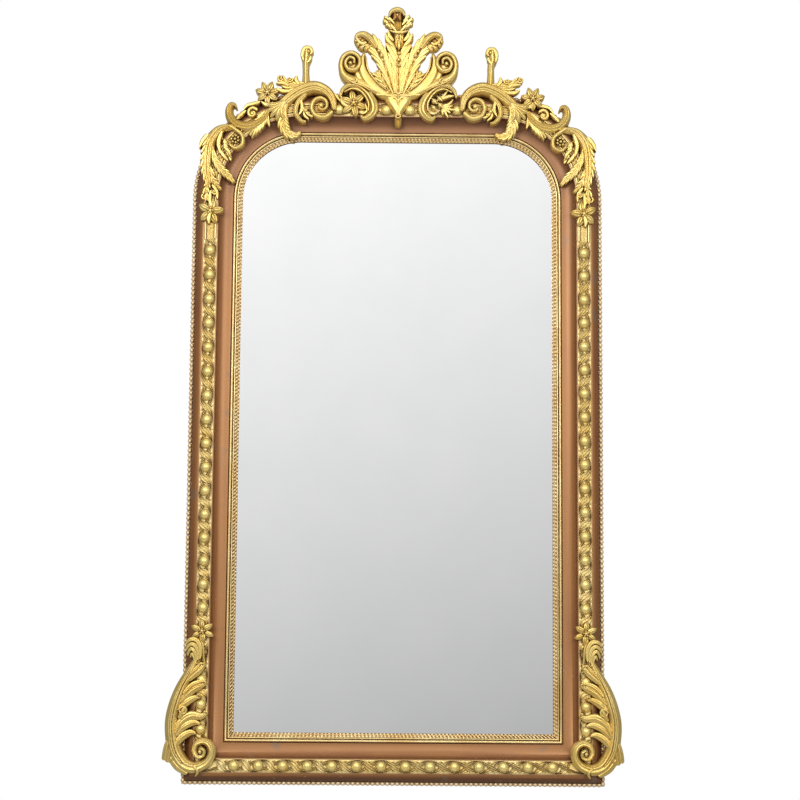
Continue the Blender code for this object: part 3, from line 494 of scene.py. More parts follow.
def build_sight_edge():
    stations = route_stations(LIP_STEP, closed=True, offset=LIP_WIDTH / 2)
    lengths = route_lengths(stations, LIP_WIDTH / 2)
    seat = TONGUE_FRONT + PIECE_GAP
    inner = [station_point(station, PIECE_GAP) for station in stations]
    rows = [[(x, -seat, z) for x, z in inner]]
    for share in LIP_SHARES:
        points = [station_point(station, PIECE_GAP + LIP_WIDTH * share) for station in stations]
        heights = [seat + lip_height(along, share) for along in lengths]
        rows.append([(x, -height, z) for (x, z), height in zip(points, heights)])
    rows.append([(x, -seat, z) for x, z in points])
    builder = bmesh.new()
    builder.from_mesh(grid_mesh(np.array(rows), True, True))
    profile = [(LIP_WIDTH, seat), (LIP_WIDTH, 0.0162)]
    profile += arc_profile(**SMALL_BEAD)
    profile += [(GROOVE_INNER, GROOVE_FLOOR), (GROOVE_OUTER, GROOVE_FLOOR)]
    profile += arc_profile(**BRIGHT_BEAD)
    profile += [(SIGHT_EDGE_WIDTH, 0.0176), (SIGHT_EDGE_WIDTH, seat)]
    beads = moulding(profile, SIGHT_BEAD_STEP)
    beads.polygons.foreach_set("material_index", [1] * len(beads.polygons))
    builder.from_mesh(beads)
    materials = (GILT_LIP, GILT_SIGHT)
    add_piece("sight_moulding", finish_mesh(builder), "gilt", "sight_edge", materials=materials, smooth=50)


# Beads along the outer edge

EDGE_ROUTE_STEP = 0.02
EDGE_BEAD_TILT = 14
EDGE_BEAD_LENGTH = 0.47
EDGE_STRIP_HEIGHT = 0.0052
EDGE_STRIP = ((0.1215, PIECE_GAP), (0.1222, EDGE_STRIP_HEIGHT), (0.1300, EDGE_STRIP_HEIGHT),
              (0.1308, PIECE_GAP))


def edge_route():
    """Points round the line of bead centres, back to the first."""
    stations = route_stations(EDGE_ROUTE_STEP, closed=True)
    offset = RAIL_WIDTH - EDGE_BEAD_DIAMETER / 2
    points = [Vector(station_point(station, offset)) for station in stations]
    return points + [points[0]]


def build_edge_beading():
    """Egg-shaped beads strung along the edge, on a thin strip."""
    points = edge_route()
    lengths = lengths_along(points)
    count = int(lengths[-1] / EDGE_BEAD_PITCH)
    ball = bmesh.new()
    bmesh.ops.create_uvsphere(ball, u_segments=10, v_segments=7, radius=1.0)
    template = finish_mesh(ball)
    radius = EDGE_BEAD_DIAMETER / 2
    height = EDGE_SEAT + PIECE_GAP + radius
    size = Matrix.Diagonal((EDGE_BEAD_PITCH * EDGE_BEAD_LENGTH, radius, radius, 1.0))
    builder = bmesh.new()
    for number in range(count):
        distance = lengths[-1] * (number + 0.5) / count
        index = min(int(np.searchsorted(lengths, distance)) - 1, len(points) - 2)
        share = (distance - lengths[index]) / (lengths[index + 1] - lengths[index])
        spot = points[index].lerp(points[index + 1], share)
        along = points[index + 1] - points[index]
        turn = Matrix.Rotation(-atan2(along.y, along.x) - radians(EDGE_BEAD_TILT), 4, "Y")
        place = Matrix.Translation((spot.x, -height, spot.y))
        add_copy(builder, template, place @ turn @ size)
    builder.from_mesh(moulding([(offset, EDGE_SEAT + rise) for offset, rise in EDGE_STRIP], RAIL_STEP))
    mesh = finish_mesh(builder)
    add_piece("edge_beads", mesh, "antique_gilt", "edge_beading", materials=(GILT_OLD,), smooth=80)


# Guilloche bands: two ribbons that cross between balls

BAND_STEP = 0.0017
BAND_SHARES = 46
BAND_FLOOR_DROP = 0.0014
BAND_FLOOR = BAND_HEIGHT - BAND_FLOOR_DROP
BAND_EDGE = 0.0168
RIM_MARGIN = 0.0012
RIBBON_SWING = 0.0140
RIBBON_HALF_AT_BALL = 0.0027
RIBBON_HALF_AT_CROSSING = 0.0086
RIBBON_RISE = 0.0036
RIBBON_RIDGES = 3
RIDGE_DEPTH = 0.48
CROSSING_REACH = 0.26
CROSSING_LIFT = 0.25
EYE_PLACE = 0.0125
EYE_RADIUS = 0.0034
EYE_RISE = 0.9
RING_HALF_WIDTH = 0.0011
RING_HALF_DEPTH = 0.0014
RING_RISE = 0.0004
TOP_BALLS = (-2.5, -0.5, 0.5, 2.5)
FOOT_COVER_LOW = -0.085
FOOT_COVER_HIGH = 0.025
CORNER_MARGIN = 0.050


def ribbon_height(phase, across, pitch):
    """Height above the band's floor of the two ridged ribbons, at a phase counted in balls."""
    widening = (RIBBON_HALF_AT_CROSSING - RIBBON_HALF_AT_BALL) * sin(pi * phase) ** 2
    half = RIBBON_HALF_AT_BALL + widening
    near_crossing = max(0.0, 1.0 - abs((phase % 1.0) - 0.5) / CROSSING_REACH)
    over = 1 if floor(phase) % 2 == 0 else -1
    for ribbon in (over, -over):
        centre = ribbon * RIBBON_SWING * cos(pi * phase)
        slope = RIBBON_SWING * pi / pitch * sin(pi * phase)
        share = abs(across - centre) / sqrt(1.0 + slope * slope) / half
        if share < 1.0:
            lift = CROSSING_LIFT if ribbon == over else -CROSSING_LIFT
            ridges = 1.0 - RIDGE_DEPTH + RIDGE_DEPTH * cos(RIBBON_RIDGES * pi * share)
            crown = sqrt(1.0 - share ** 6) * ridges
            return RIBBON_RISE * (crown + lift * near_crossing * (1.0 - share ** 6))
    beside = hypot((phase % 1.0 - 0.5) * pitch, abs(across) - EYE_PLACE)
    return max(0.0, RIBBON_RISE * EYE_RISE * (1.0 - (beside / EYE_RADIUS) ** 2))


def band_rows(stations, phases, pitch):
    """Rows of points across the band: its back, its side, the floor with its ribbons, and the other side."""
    width = BAND_OUTER - BAND_INNER
    shares = [0.0, 0.0] + [n / BAND_SHARES for n in range(BAND_SHARES + 1)] + [1.0, 1.0]
    rows = []
    for row, share in enumerate(shares):
        offset = BAND_INNER + width * share
        across = offset - BAND_CENTRE
        carved = abs(across) < BAND_EDGE
        line = []
        for station, phase in zip(stations, phases):
            height = BAND_FLOOR + (ribbon_height(phase, across, pitch) if carved else 0.0)
            if row in (0, len(shares) - 1):
                height = BAND_BACK
            x, z = station_point(station, offset)
            line.append((x, -height, z))
        rows.append(line)
    return np.array(rows)


def close_ends(mesh, rows, columns):
    """Cap both ends of an open band."""
    builder = bmesh.new()
    builder.from_mesh(mesh)
    builder.verts.ensure_lookup_table()
    for column in (0, columns - 1):
        ring = [builder.verts[row * columns + column] for row in range(rows)]
        builder.faces.new(ring if column else ring[::-1])
    bmesh.ops.recalc_face_normals(builder, faces=builder.faces)
    return finish_mesh(builder)


def ball_template():
    """The oval ball that sits on the band's floor."""
    builder = bmesh.new()
    bmesh.ops.create_uvsphere(builder, u_segments=24, v_segments=14, radius=1.0)
    radius = BALL_DIAMETER / 2
    mesh = finish_mesh(builder)
    mesh.transform(Matrix.Diagonal((radius, BALL_RISE + BAND_FLOOR_DROP, radius, 1.0)))
    mesh.polygons.foreach_set("material_index", [2] * len(mesh.polygons))
    return mesh


def ring_template():
    """The thin raised ring that a ball sits in."""
    points = np.zeros((8, 32, 3))
    for row in range(8):
        section = 2 * pi * row / 8
        radius = BALL_DIAMETER / 2 + RING_HALF_WIDTH * (1.0 + cos(section))
        depth = -RING_HALF_DEPTH * sin(section)
        for column in range(32):
            angle = 2 * pi * column / 32
            points[row, column] = (radius * cos(angle), depth, radius * sin(angle))
    return grid_mesh(points, True, True)


def band_piece(word, stations, phases, pitch, balls):
    """One length of the band: ribbons, tan rims, and balls in their rings."""
    rows = band_rows(stations, phases, pitch)
    grid = grid_mesh(rows, True, False)
    for face in grid.polygons:
        share = (face.index // (len(stations) - 1) - 1.5) / BAND_SHARES
        across = abs(share - 0.5) * (BAND_OUTER - BAND_INNER)
        face.material_index = int(across > BAND_EDGE - RIM_MARGIN)
    builder = bmesh.new()
    builder.from_mesh(close_ends(grid, len(rows), len(stations)))
    for template, height in ((ball_template(), BAND_FLOOR), (ring_template(), BAND_HEIGHT + RING_RISE)):
        for x, z in balls:
            add_copy(builder, template, Matrix.Translation((x, -height, z)))
    materials = (GILT_BAND, GILT_RIM, GILT_BALL)
    mesh = finish_mesh(builder)
    add_piece("band_" + word, mesh, "gilt", "ball_band_" + word, materials=materials, smooth=45)


def side_ball_height(side, number):
    """The height of a ball counted down from the top; those on the left sag a little towards the middle."""
    first = SIGHT_TOP - SIDE_BALLS_FROM_TOP
    foot_number = (first - FOOT_LEVEL) / BALL_PITCH_SIDE
    drift = 0.0
    if side < 0 and 0 < number < foot_number:
        drift = LEFT_BALL_DRIFT * sin(pi * number / foot_number)
    return first - BALL_PITCH_SIDE * number - drift


def side_band(side, word, all_stations):
    """A side length, without balls where the foot's flower covers it."""
    count = int((SIGHT_TOP - SIDE_BALLS_FROM_TOP - SIGHT_BOTTOM) / BALL_PITCH_SIDE) + 1
    stations = [station for station in all_stations if station[0] == word]
    if side < 0:
        stations.append(("left", 1.0))
    numbers = np.arange(-6.0, count + 4)
    heights = np.array([side_ball_height(side, number) for number in numbers])
    places = np.array([station_point(station, BAND_CENTRE)[1] for station in stations])
    phases = np.maximum(np.interp(-places, -heights, numbers), -0.5)
    levels = [side_ball_height(side, number) for number in range(count)]
    balls = [(side * BAND_LINE, z) for z in levels if not FOOT_COVER_LOW < z - FOOT_LEVEL < FOOT_COVER_HIGH]
    band_piece(word, stations, phases, BALL_PITCH_SIDE, balls)


def level_phases(stations):
    """Phases along a length whose middle lies between two balls."""
    lengths = route_lengths(stations, BAND_CENTRE)
    return (lengths - lengths[-1] / 2) / BALL_PITCH_LEVEL - 0.5


def build_bands():
    all_stations = route_stations(BAND_STEP, closed=True, offset=BAND_CENTRE)
    for side, word in ((-1, "left"), (1, "right")):
        side_band(side, word, all_stations)
    stations = [station for station in all_stations if station[0] in ("arc_left", "top", "arc_right")]
    balls = [(BALL_PITCH_LEVEL * number, SIGHT_TOP + BAND_CENTRE) for number in TOP_BALLS]
    phases = np.clip(level_phases(stations), TOP_BALLS[0] - 1.0, TOP_BALLS[-1])
    band_piece("top", stations, phases, BALL_PITCH_LEVEL, balls)
    low_count = max(int(2 * HALF_SIGHT / BAND_STEP), 1)
    stations = [("bottom", n / low_count) for n in range(low_count + 1)]
    pairs = int((BAND_LINE - CORNER_MARGIN) / BALL_PITCH_LEVEL)
    balls = [(BALL_PITCH_LEVEL * (n + 0.5 - pairs), SIGHT_BOTTOM - BAND_CENTRE) for n in range(2 * pairs)]
    band_piece("bottom", stations, level_phases(stations), BALL_PITCH_LEVEL, balls)


# Carving: ridges that follow smooth curves on each ornament's own grid

TOP_SQUEEZE = 0.975
NOMINAL_BAND_LINE = 0.49225
CREST_HEIGHT = 0.326
CREST_GRID = 120.0
CREST_DROP = 0.009
SHOULDER_HEIGHT = 0.234
SHOULDER_GRID = 86.0
SHOULDER_DROP = 0.045
SHOULDER_SHARE = 0.4154
LEAF_HEIGHT = 0.272
LEAF_GRID = 100.0
LEAF_DROP = 0.331
FOOT_HEIGHT = 0.386
FOOT_GRID = 152.0
RIGHT_UPRIGHT_LEAN = 2.0
RIGHT_FLOWER_SHIFT = 3.8
ARM_ON_SCROLL = (83, -19.5)
ARM_ON_LEAF = (-11, 82)
ORNAMENT_BACK = 0.018
BACK_STEP = 0.00005
STEPS_PER_ROW = 9
SECTION_POINTS = 21
FINGER_STEPS = 5
FINGER_POINTS = 11
THINNEST_HALF_WIDTH = 0.25
ROUNDED_SHARE = 0.45
ROUNDED_PER_WIDTH = 1.15
BEAD_WAIST = 0.62
LEAF_BODY = 0.62
BOSS_THICKNESS = 0.014
BOSS_RISE = 0.9
RIDGE_THICKNESS = 0.100
FINGER_THICKNESS = 0.024
RIM_THICKNESS = 0.020
END_TAPER = {0: 0.35, 1: 0.8}

# Rows of a lobe: the way back from its tip, the place across the leaf, the spread, and the lift
FINGER_SHAPE = ((1.0, 0.04, 0.15, -2.4), (0.62, 0.34, 0.25, -0.6), (0.28, 0.70, 0.30, -0.7),
                (0.04, 0.96, 0.22, -1.8), (-0.07, 1.12, 0.06, -4.0))


def smooth_row(rows, position):
    """A Catmull-Rom curve through rows of numbers, at a place counted in rows."""
    last = len(rows) - 1
    start = min(int(position), last - 1)
    t = position - start
    before = rows[max(start - 1, 0)]
    first = rows[start]
    second = rows[start + 1]
    after = rows[min(start + 2, last)]
    values = []
    for p0, p1, p2, p3 in zip(before, first, second, after):
        bend = (2 * p0 - 5 * p1 + 4 * p2 - p3) * t * t + (3 * p1 - p0 - 3 * p2 + p3) * t ** 3
        values.append(p1 + 0.5 * ((p2 - p0) * t + bend))
    return values


def around(x, z, radius, angle):
    """The point at a distance from a centre, at an angle in degrees."""
    return (x + radius * cos(radians(angle)), z + radius * sin(radians(angle)))


def section_shape(points, flutes, depth):
    """The rounded section of a ridge, from side to side, with flutes cut along it."""
    shape = []
    for index in range(points):
        across = 1.0 - 2.0 * index / (points - 1)
        across = copysign(abs(across) ** 0.85, across)
        rise = (1.0 - abs(across) ** 2.6) ** 0.55 if abs(across) < 1.0 else 0.0
        if flutes:
            rise *= 1.0 - depth * (0.5 - 0.5 * cos(pi * flutes * (across + 1.0)))
        shape.append((across, rise))
    return shape


class Drawing:
    """An ornament's own grid: x counted outwards, z upwards, heights in millimetres above the wall."""

    def __init__(self, place, height, grid, side, squeeze=1.0):
        self.place = place
        self.part = height / grid
        self.squeeze = squeeze
        self.side = side
        # While shade is set, new faces take the second material, the dark gilt painted as shade.
        self.shade = False
        # The backs of the right half start one step in front of those of the left
        self.ridges = int(side > 0)
        self.builder = bmesh.new()

    def point(self, x, z, height):
        across = self.place[0] + x * self.part * self.squeeze
        return (self.side * across, -height, self.place[1] + z * self.part)

    def next_back(self):
        """The back of the next ridge, a hair in front of the last one of this drawing."""
        self.ridges += 1
        return ORNAMENT_BACK + BACK_STEP * self.ridges

    def close_rings(self, rings):
        count = len(rings[0])
        for ring, following in zip(rings, rings[1:]):
            for index in range(count):
                after = (index + 1) % count
                face = self.builder.faces.new((ring[index], ring[after], following[after], following[index]))
                # The second material is the dark gilt painted as shade.
                face.material_index = int(self.shade)
        self.builder.faces.new(rings[0][::-1])
        self.builder.faces.new(rings[-1])

    def stroke(self, rows, flutes=0, depth=0.2, steps=STEPS_PER_ROW, points=SECTION_POINTS, beads=0,
               thickness=RIDGE_THICKNESS):
        """A ridge through rows of (x, z, half width, crown in millimetres)."""
        samples = []
        count = (len(rows) - 1) * steps
        for step in range(count + 1):
            samples.append(smooth_row(rows, step / steps))
        shape = section_shape(points, flutes, depth)
        lowest = self.next_back()
        rings = []
        for index, (x, z, half_width, crown) in enumerate(samples):
            ahead = samples[min(index + 1, count)]
            behind = samples[max(index - 1, 0)]
            along = Vector((ahead[0] - behind[0], ahead[1] - behind[1])).normalized()
            half_width = max(half_width, THINNEST_HALF_WIDTH) * END_TAPER.get(min(index, count - index), 1.0)
            if beads:
                half_width *= BEAD_WAIST + (1.0 - BEAD_WAIST) * abs(sin(pi * beads * index / count))
            crown = crown / 1000
            back = max(lowest, crown - thickness)
            rounded = min((crown - back) * ROUNDED_SHARE, half_width * self.part * ROUNDED_PER_WIDTH)
            foot = crown - rounded
            ring = []
            for across, rise in [(1.0, None)] + shape + [(-1.0, None)]:
                height = back if rise is None else foot + (crown - foot) * rise
                px = x - along.y * across * half_width
                pz = z + along.x * across * half_width
                ring.append(self.builder.verts.new(self.point(px, pz, height)))
            rings.append(ring)
        self.close_rings(rings)

    def fingers(self, *lobes):
        """Narrow lobes of a leaf, one after another."""
        for rows in lobes:
            self.stroke(rows, 1, 0.16, FINGER_STEPS, FINGER_POINTS, thickness=FINGER_THICKNESS)

    def leaf(self, rows, lobes, sides=(1, -1), flutes=3, depth=0.18, sweep=0.42, first=0.3, last=1.0):
        """A carved leaf: long ridges that run up it and part one by one to a lobed edge."""
        spans = len(rows) - 1
        self.stroke([(x, z, half_width * LEAF_BODY, crown) for x, z, half_width, crown in rows], flutes, depth)
        for number in range(lobes):
            tip = first + (last - first) * number / max(lobes - 1, 1)
            for side in sides:
                finger = []
                for row, (back, outward, spread, lift) in enumerate(FINGER_SHAPE):
                    share = max(tip - sweep * back, 0.02 * row)
                    x, z, half_width, crown = smooth_row(rows, spans * min(share, 1.0))
                    ahead = smooth_row(rows, spans * min(share + 0.02, 1.0))
                    behind = smooth_row(rows, spans * max(min(share, 1.0) - 0.02, 0.0))
                    along = Vector((ahead[0] - behind[0], ahead[1] - behind[1])).normalized()
                    across = Vector((-along.y, along.x)) * side
                    beyond = max(share - 1.0, 0.0) * 12
                    spot = Vector((x, z)) + across * half_width * outward + along * half_width * beyond
                    finger.append((spot.x, spot.y, spread * max(half_width, 2.0) + 0.2, crown + lift))
                self.fingers(finger)

    def boss(self, x, z, radius, crown, sides=20):
        """A round button."""
        crown = crown / 1000
        back = max(self.next_back(), crown - BOSS_THICKNESS - radius * self.part)
        rings = []
        levels = [(1.0, None)]
        levels += [(cos(radians(a)), sin(radians(a)) - 1.0) for a in range(0, 90, 14)]
        for share, rise in levels:
            height = back if rise is None else crown + rise * radius * self.part * BOSS_RISE
            ring = []
            for side in range(sides):
                spot = around(x, z, radius * share, 360.0 * side / sides)
                ring.append(self.builder.verts.new(self.point(*spot, height)))
            rings.append(ring)
        self.close_rings(rings)

    def ring(self, x, z, radius, width, crown, turn=360.0, start=0.0):
        """A raised round rim."""
        rows = [(*around(x, z, radius, start + turn * step / 10), width, crown) for step in range(11)]
        self.stroke(rows, 0, 0.0, 3, FINGER_POINTS, thickness=RIM_THICKNESS)

    def curl(self, x, z, radius, crown, start=0.0, hand=1.0):
        """The curled tip of a leaf: a rim that rolls in over a small hollow."""
        rows = []
        for step in range(9):
            share = step / 8
            place = around(x, z, radius * (1.0 - 0.72 * share), start + hand * 400.0 * share)
            rows.append((*place, radius * (0.34 - 0.16 * share), crown - 3 * share))
        self.stroke(rows, 0, 0.0, 4, FINGER_POINTS, thickness=RIM_THICKNESS)
        self.boss(x, z, radius * 0.7, crown - 3.5, 12)

    def flower(self, x, z, radius, petals, crown, turn=0.0, width=0.26):
        """Pointed petals, each with a rib, round a cluster of small buttons."""
        for petal in range(petals):
            angle = turn + 360.0 * petal / petals
            lean = 2.5 * (petal % 2)
            rows = []
            outline = ((0.1, 0.10, 4), (0.42, width, 0), (0.78, width * 0.8, 1), (1.03, 0.03, 6))
            for share, spread, drop in outline:
                rows.append((*around(x, z, radius * share, angle), spread * radius, crown - drop - lean))
            self.stroke(rows, 2, 0.3, 7, 15)
        self.boss(x, z, radius * 0.17, crown + 3, 12)
        for bud in range(5):
            self.boss(*around(x, z, radius * 0.2, turn + 72.0 * bud), radius * 0.085, crown + 2, 10)

    def volute(self, x, z, radius, turns, start, hand, width, crown):
        """A spiral band that winds in to an eye."""
        rows = []
        count = int(turns * 8)
        for step in range(count + 1):
            share = step / count
            place = around(x, z, radius * (1.0 - 0.78 * share), start + hand * 360.0 * turns * share)
            rows.append((*place, width * (1.0 - 0.55 * share), crown + 5 * share))
        self.stroke(rows, 2, 0.10)
        self.boss(x, z, radius * 0.22, crown + 7)

    def bead_drops(self, places, crown):
        """Small drops in a row, each a little smaller than the one before."""
        for number, (x, z) in enumerate(places):
            self.boss(x, z, 2.0 - 0.25 * number, crown - number, 14)


def crest_plume(centre):
    """The upright leaf with its collar and the curled head above it."""
    centre.leaf([(0, -2, 3.6, 58), (0, 14, 5.8, 66), (0, 29, 8.0, 73), (0, 42, 10.4, 79),
                 (0.4, 53, 12.0, 83)], 5, flutes=4, depth=0.34, sweep=0.5)
    centre.bead_drops(((0.4, 38), (0.4, 31.5), (0.4, 26)), 81)
    centre.stroke([(0.4, 41, 0.9, 83), (0.4, 45.5, 1.8, 86), (0.4, 51, 0.8, 86)])
    centre.stroke([(0.4, 43, 6.4, 80), (0.4, 53, 6.8, 85), (0.4, 61, 7.2, 88)], 5, 0.2)
    centre.stroke([(-9.2, 60, 1.0, 86), (-4, 58.2, 1.5, 90), (0.5, 57.6, 1.8, 91), (5, 58.2, 1.5, 90),
                   (9.6, 60, 1.0, 86)])
    centre.stroke([(-1, 59, 5.6, 88), (-1.3, 66, 7.0, 91), (-1.5, 72, 6.0, 90)], 4, 0.24)
    # Painted shade: the hollow under the curled head and its folds take the dark gilt.
    centre.shade = True
    centre.boss(-1.6, 74.6, 6.6, 94)
    centre.stroke([(-5.6, 69, 1.6, 93), (-3.6, 72.6, 2.2, 96), (-4.4, 77, 1.2, 96)], 0, 0.0, thickness=0.030)
    centre.stroke([(1.6, 69, 1.6, 93), (0.6, 72.6, 2.2, 96), (1.8, 77, 1.2, 96)], 0, 0.0, thickness=0.030)
    centre.shade = False
    centre.stroke([(-9.4, 73.4, 1.1, 94), (-8.4, 76.8, 1.9, 97), (-5.4, 79.0, 2.5, 99),
                   (-1.6, 79.7, 2.9, 100), (2.0, 79.0, 2.5, 99), (4.6, 76.8, 1.9, 97),
                   (5.4, 73.6, 1.0, 94)], 2, 0.14)
    clump = ((-13.2, 72.2, 2.0), (-14.0, 68.4, 2.3), (-11.6, 65.0, 2.5), (-9.6, 70.8, 2.6), (-7.6, 63.4, 2.0),
             (9.4, 72.8, 2.3), (12.6, 70.2, 2.3), (11.8, 65.8, 2.5), (8.2, 69.4, 2.3), (7.4, 63.6, 2.0))
    for x, z, radius in clump:
        inward = -copysign(1.0, x)
        centre.boss(x, z, radius, 94, 14)
        centre.fingers(
            [(x + inward * 5, z - 4.5, 0.8, 90), (x + inward * 2, z - 1.4, 1.6, 94), (x, z + 1.2, 0.8, 95)])
    for side in (-1, 1):
        # Painted shade: the small boss in each hollow beside the head takes the dark gilt.
        centre.shade = True
        centre.boss(side * 9.0 - 0.4, 68.2, 3.0, 91)
        centre.shade = False
        centre.stroke([(side * 2, 60, 2.4, 88), (side * 6.4, 63, 3.0, 90), (side * 9.4, 66.5, 2.2, 91)],
                       2, 0.2, thickness=0.040)
        centre.fingers(
            [(side * 5, 45, 1.8, 80), (side * 10.6, 50.5, 2.6, 84), (side * 13.2, 57.6, 0.8, 85)],
            [(side * 5, 50, 1.8, 83), (side * 9.2, 54.5, 2.2, 86), (side * 10.2, 59.6, 0.7, 86)])


def crest_side(half):
    """One side of the crest: a fluted plume with a curled head, inner leaves and the scrolls."""
    half.leaf([(4.5, 0, 2.6, 60), (9.5, 16, 4.8, 68), (15.5, 31, 6.3, 76), (23, 43, 7.0, 84),
               (29.4, 50, 6.4, 89)], 5, flutes=3, depth=0.34, sweep=0.5)
    half.stroke([(21.5, 42.5, 3.4, 84), (27.5, 50.5, 4.2, 90), (34.4, 55.4, 3.4, 94), (40.6, 54.8, 2.5, 93),
                 (43.4, 51, 1.5, 89)], 3)
    # Painted shade: the hollow under the side head takes the dark gilt.
    half.shade = True
    half.boss(36.4, 49.6, 5.0, 86)
    half.boss(33.0, 45.4, 3.0, 85)
    half.shade = False
    half.stroke([(42.4, 52.6, 1.2, 90), (40.0, 48.4, 1.6, 91), (36.4, 46.2, 1.7, 90),
                 (32.4, 47.4, 1.3, 89)], 1)
    for x, z, radius in ((40.8, 45.6, 2.3), (37.0, 42.6, 2.6), (32.6, 41.4, 2.6), (43.0, 49.0, 1.9)):
        half.boss(x, z, radius, 88, 14)
        half.fingers([(x - 6, z + 3.5, 0.8, 84), (x - 2.5, z + 1.8, 1.5, 88), (x + 0.6, z - 0.8, 0.8, 89)])
    half.bead_drops(((17.0, 35), (19.6, 39.5), (22.6, 44)), 87)
    half.leaf([(8, 1, 2.0, 56), (13, 8, 3.4, 60), (18.5, 15.5, 4.6, 64), (22.6, 21.5, 4.4, 65)], 4, flutes=3)
    half.fingers([(11, 0, 1.4, 56), (20, 8, 2.0, 60), (26, 16, 1.8, 62), (28.4, 21, 0.7, 60)])
    half.stroke([(3, -4, 3.4, 56), (12, -1, 5.4, 58), (22, 5, 7.0, 61), (30, 13.5, 7.6, 63),
                 (35.6, 23, 6.0, 65), (36.4, 32, 3.4, 66), (34.4, 39.5, 1.4, 65)], 0)
    half.stroke([(10, 2, 0.5, 60), (19, 8.5, 0.7, 63), (27, 17, 0.8, 66), (31.4, 26, 0.8, 68),
                 (32.6, 36, 0.6, 67)])
    half.boss(47.5, 28, 10.4, 61)
    half.stroke([(15, -2, 3.6, 55), (26, 6, 6.4, 57), (36, 14, 7.6, 58), (41.6, 24, 5.0, 58)])
    half.stroke([(24, 3, 4.6, 60), (36, 9, 6.6, 62), (47, 13, 5.8, 64), (55, 19, 3.8, 66),
                 (57.6, 28.5, 2.7, 68), (54.6, 36.6, 2.5, 69), (47.5, 39.6, 2.4, 70), (40.4, 36, 2.2, 71),
                 (38.8, 28.4, 2.1, 72), (43.4, 22.4, 1.9, 73), (50, 22.6, 1.8, 74), (53.2, 28.6, 1.7, 75),
                 (49.6, 34, 1.5, 76), (44.6, 32.6, 1.3, 76), (44.6, 28, 1.1, 76)], 2, 0.1)
    half.boss(48, 28.4, 2.0, 77, 14)
    half.stroke([(52, 13.6, 0.5, 65), (45, 9.4, 0.8, 67), (36, 6.4, 0.8, 66), (28, 2, 0.6, 64)])
    half.curl(43.5, 11.5, 2.4, 69, 90.0, 1.0)
    half.stroke([(58.4, -4, 1.0, 58), (56, 3, 2.1, 60), (49, 7.8, 2.8, 62), (40, 6.6, 3.6, 62),
                 (31, -0.5, 4.8, 62), (25.4, -10.5, 5.4, 61), (26.0, -19, 4.8, 59), (33.0, -24.6, 2.6, 56),
                 (37.4, -22.4, 1.2, 55)], 2, 0.2)
    half.stroke([(54, 0.6, 0.5, 61), (46, 4.0, 0.8, 64), (36.6, 0.4, 0.9, 66), (30, -9.5, 0.9, 65),
                 (30, -18, 0.6, 61)])
    half.stroke([(22, -1, 1.8, 58), (14, -1.6, 1.8, 59), (6, -2.6, 2.4, 60)])


def crest_carving(drawing_left, drawing_right):
    """The plume of leaves between two scrolls, over a shield and a pendant."""
    crest_plume(drawing_right)
    for half in (drawing_left, drawing_right):
        crest_side(half)
    shield = drawing_right
    shield.stroke([(0, 3, 12.4, 57), (0, -2, 14.8, 60), (0, -9, 12.6, 61), (0, -16, 7.4, 60),
                   (0, -22.5, 2.2, 56)])
    for side in (-1, 1):
        shield.stroke([(side * 15.4, 5.0, 0.8, 56), (side * 13.8, 0, 1.4, 57), (side * 8.0, 3.0, 1.4, 58),
                       (0, 4.4, 1.2, 58)])
        shield.fingers(
            [(side * 0.5, -9, 0.8, 64), (side * 2.6, -5, 1.2, 65), (side * 5.4, -5.5, 0.6, 64)],
            [(0, -1.5, 0.8, 62), (side * 2.2, 0.6, 1.1, 63), (side * 4.6, 0.2, 0.6, 62)])
    shield.stroke([(0, -12, 0.7, 64), (0, -7, 0.9, 66), (0, -2, 0.7, 65)])
    shield.stroke([(0, -20, 2.6, 56), (0, -25, 3.5, 54), (0, -29.4, 3.2, 52), (0, -32.4, 1.8, 49)], 4, 0.25)
    shield.ring(0, -22.5, 2.2, 0.8, 58)
    flower = drawing_left
    flower.flower(44.5, -10, 13.5, 6, 62, 20.0)
    flower.fingers(
        [(57, -3, 1.4, 56), (56, -9, 1.8, 58), (51, -13, 1.6, 57), (46, -13, 1.0, 56)],
        [(36, -21, 0.8, 54), (31, -17, 1.6, 56), (33, -11, 1.0, 56)],
        [(58, -8, 0.8, 54), (61, -4, 1.5, 56), (64, 0, 0.7, 54)])
    buds = drawing_right
    for x, z, radius in ((36, -8, 3.0), (41.5, -5.5, 2.8), (42, -12, 2.8), (35.5, -14.5, 2.4)):
        buds.boss(x, z, radius, 64, 14)
        buds.fingers(
            [(x + radius, z - radius, 0.8, 62), (x, z, 1.0, 66), (x - radius, z + radius, 0.6, 62)])
    buds.fingers(
        [(38, -8, 1.4, 60), (45, -3, 1.8, 61), (50, 4, 0.7, 58)],
        [(42, -6, 1.4, 60), (50, -3, 1.8, 61), (56, -2, 0.7, 58)])
    for reach in range(6):
        angle = -108 + reach * 27
        middle = around(46, -13, 5, angle)
        tip = around(46, -13, 8.6 + 2.8 * (reach % 2), angle + 11.46)
        buds.fingers([(45, -12, 1.2, 58), (*middle, 1.6, 60), (*tip, 0.8, 57)])


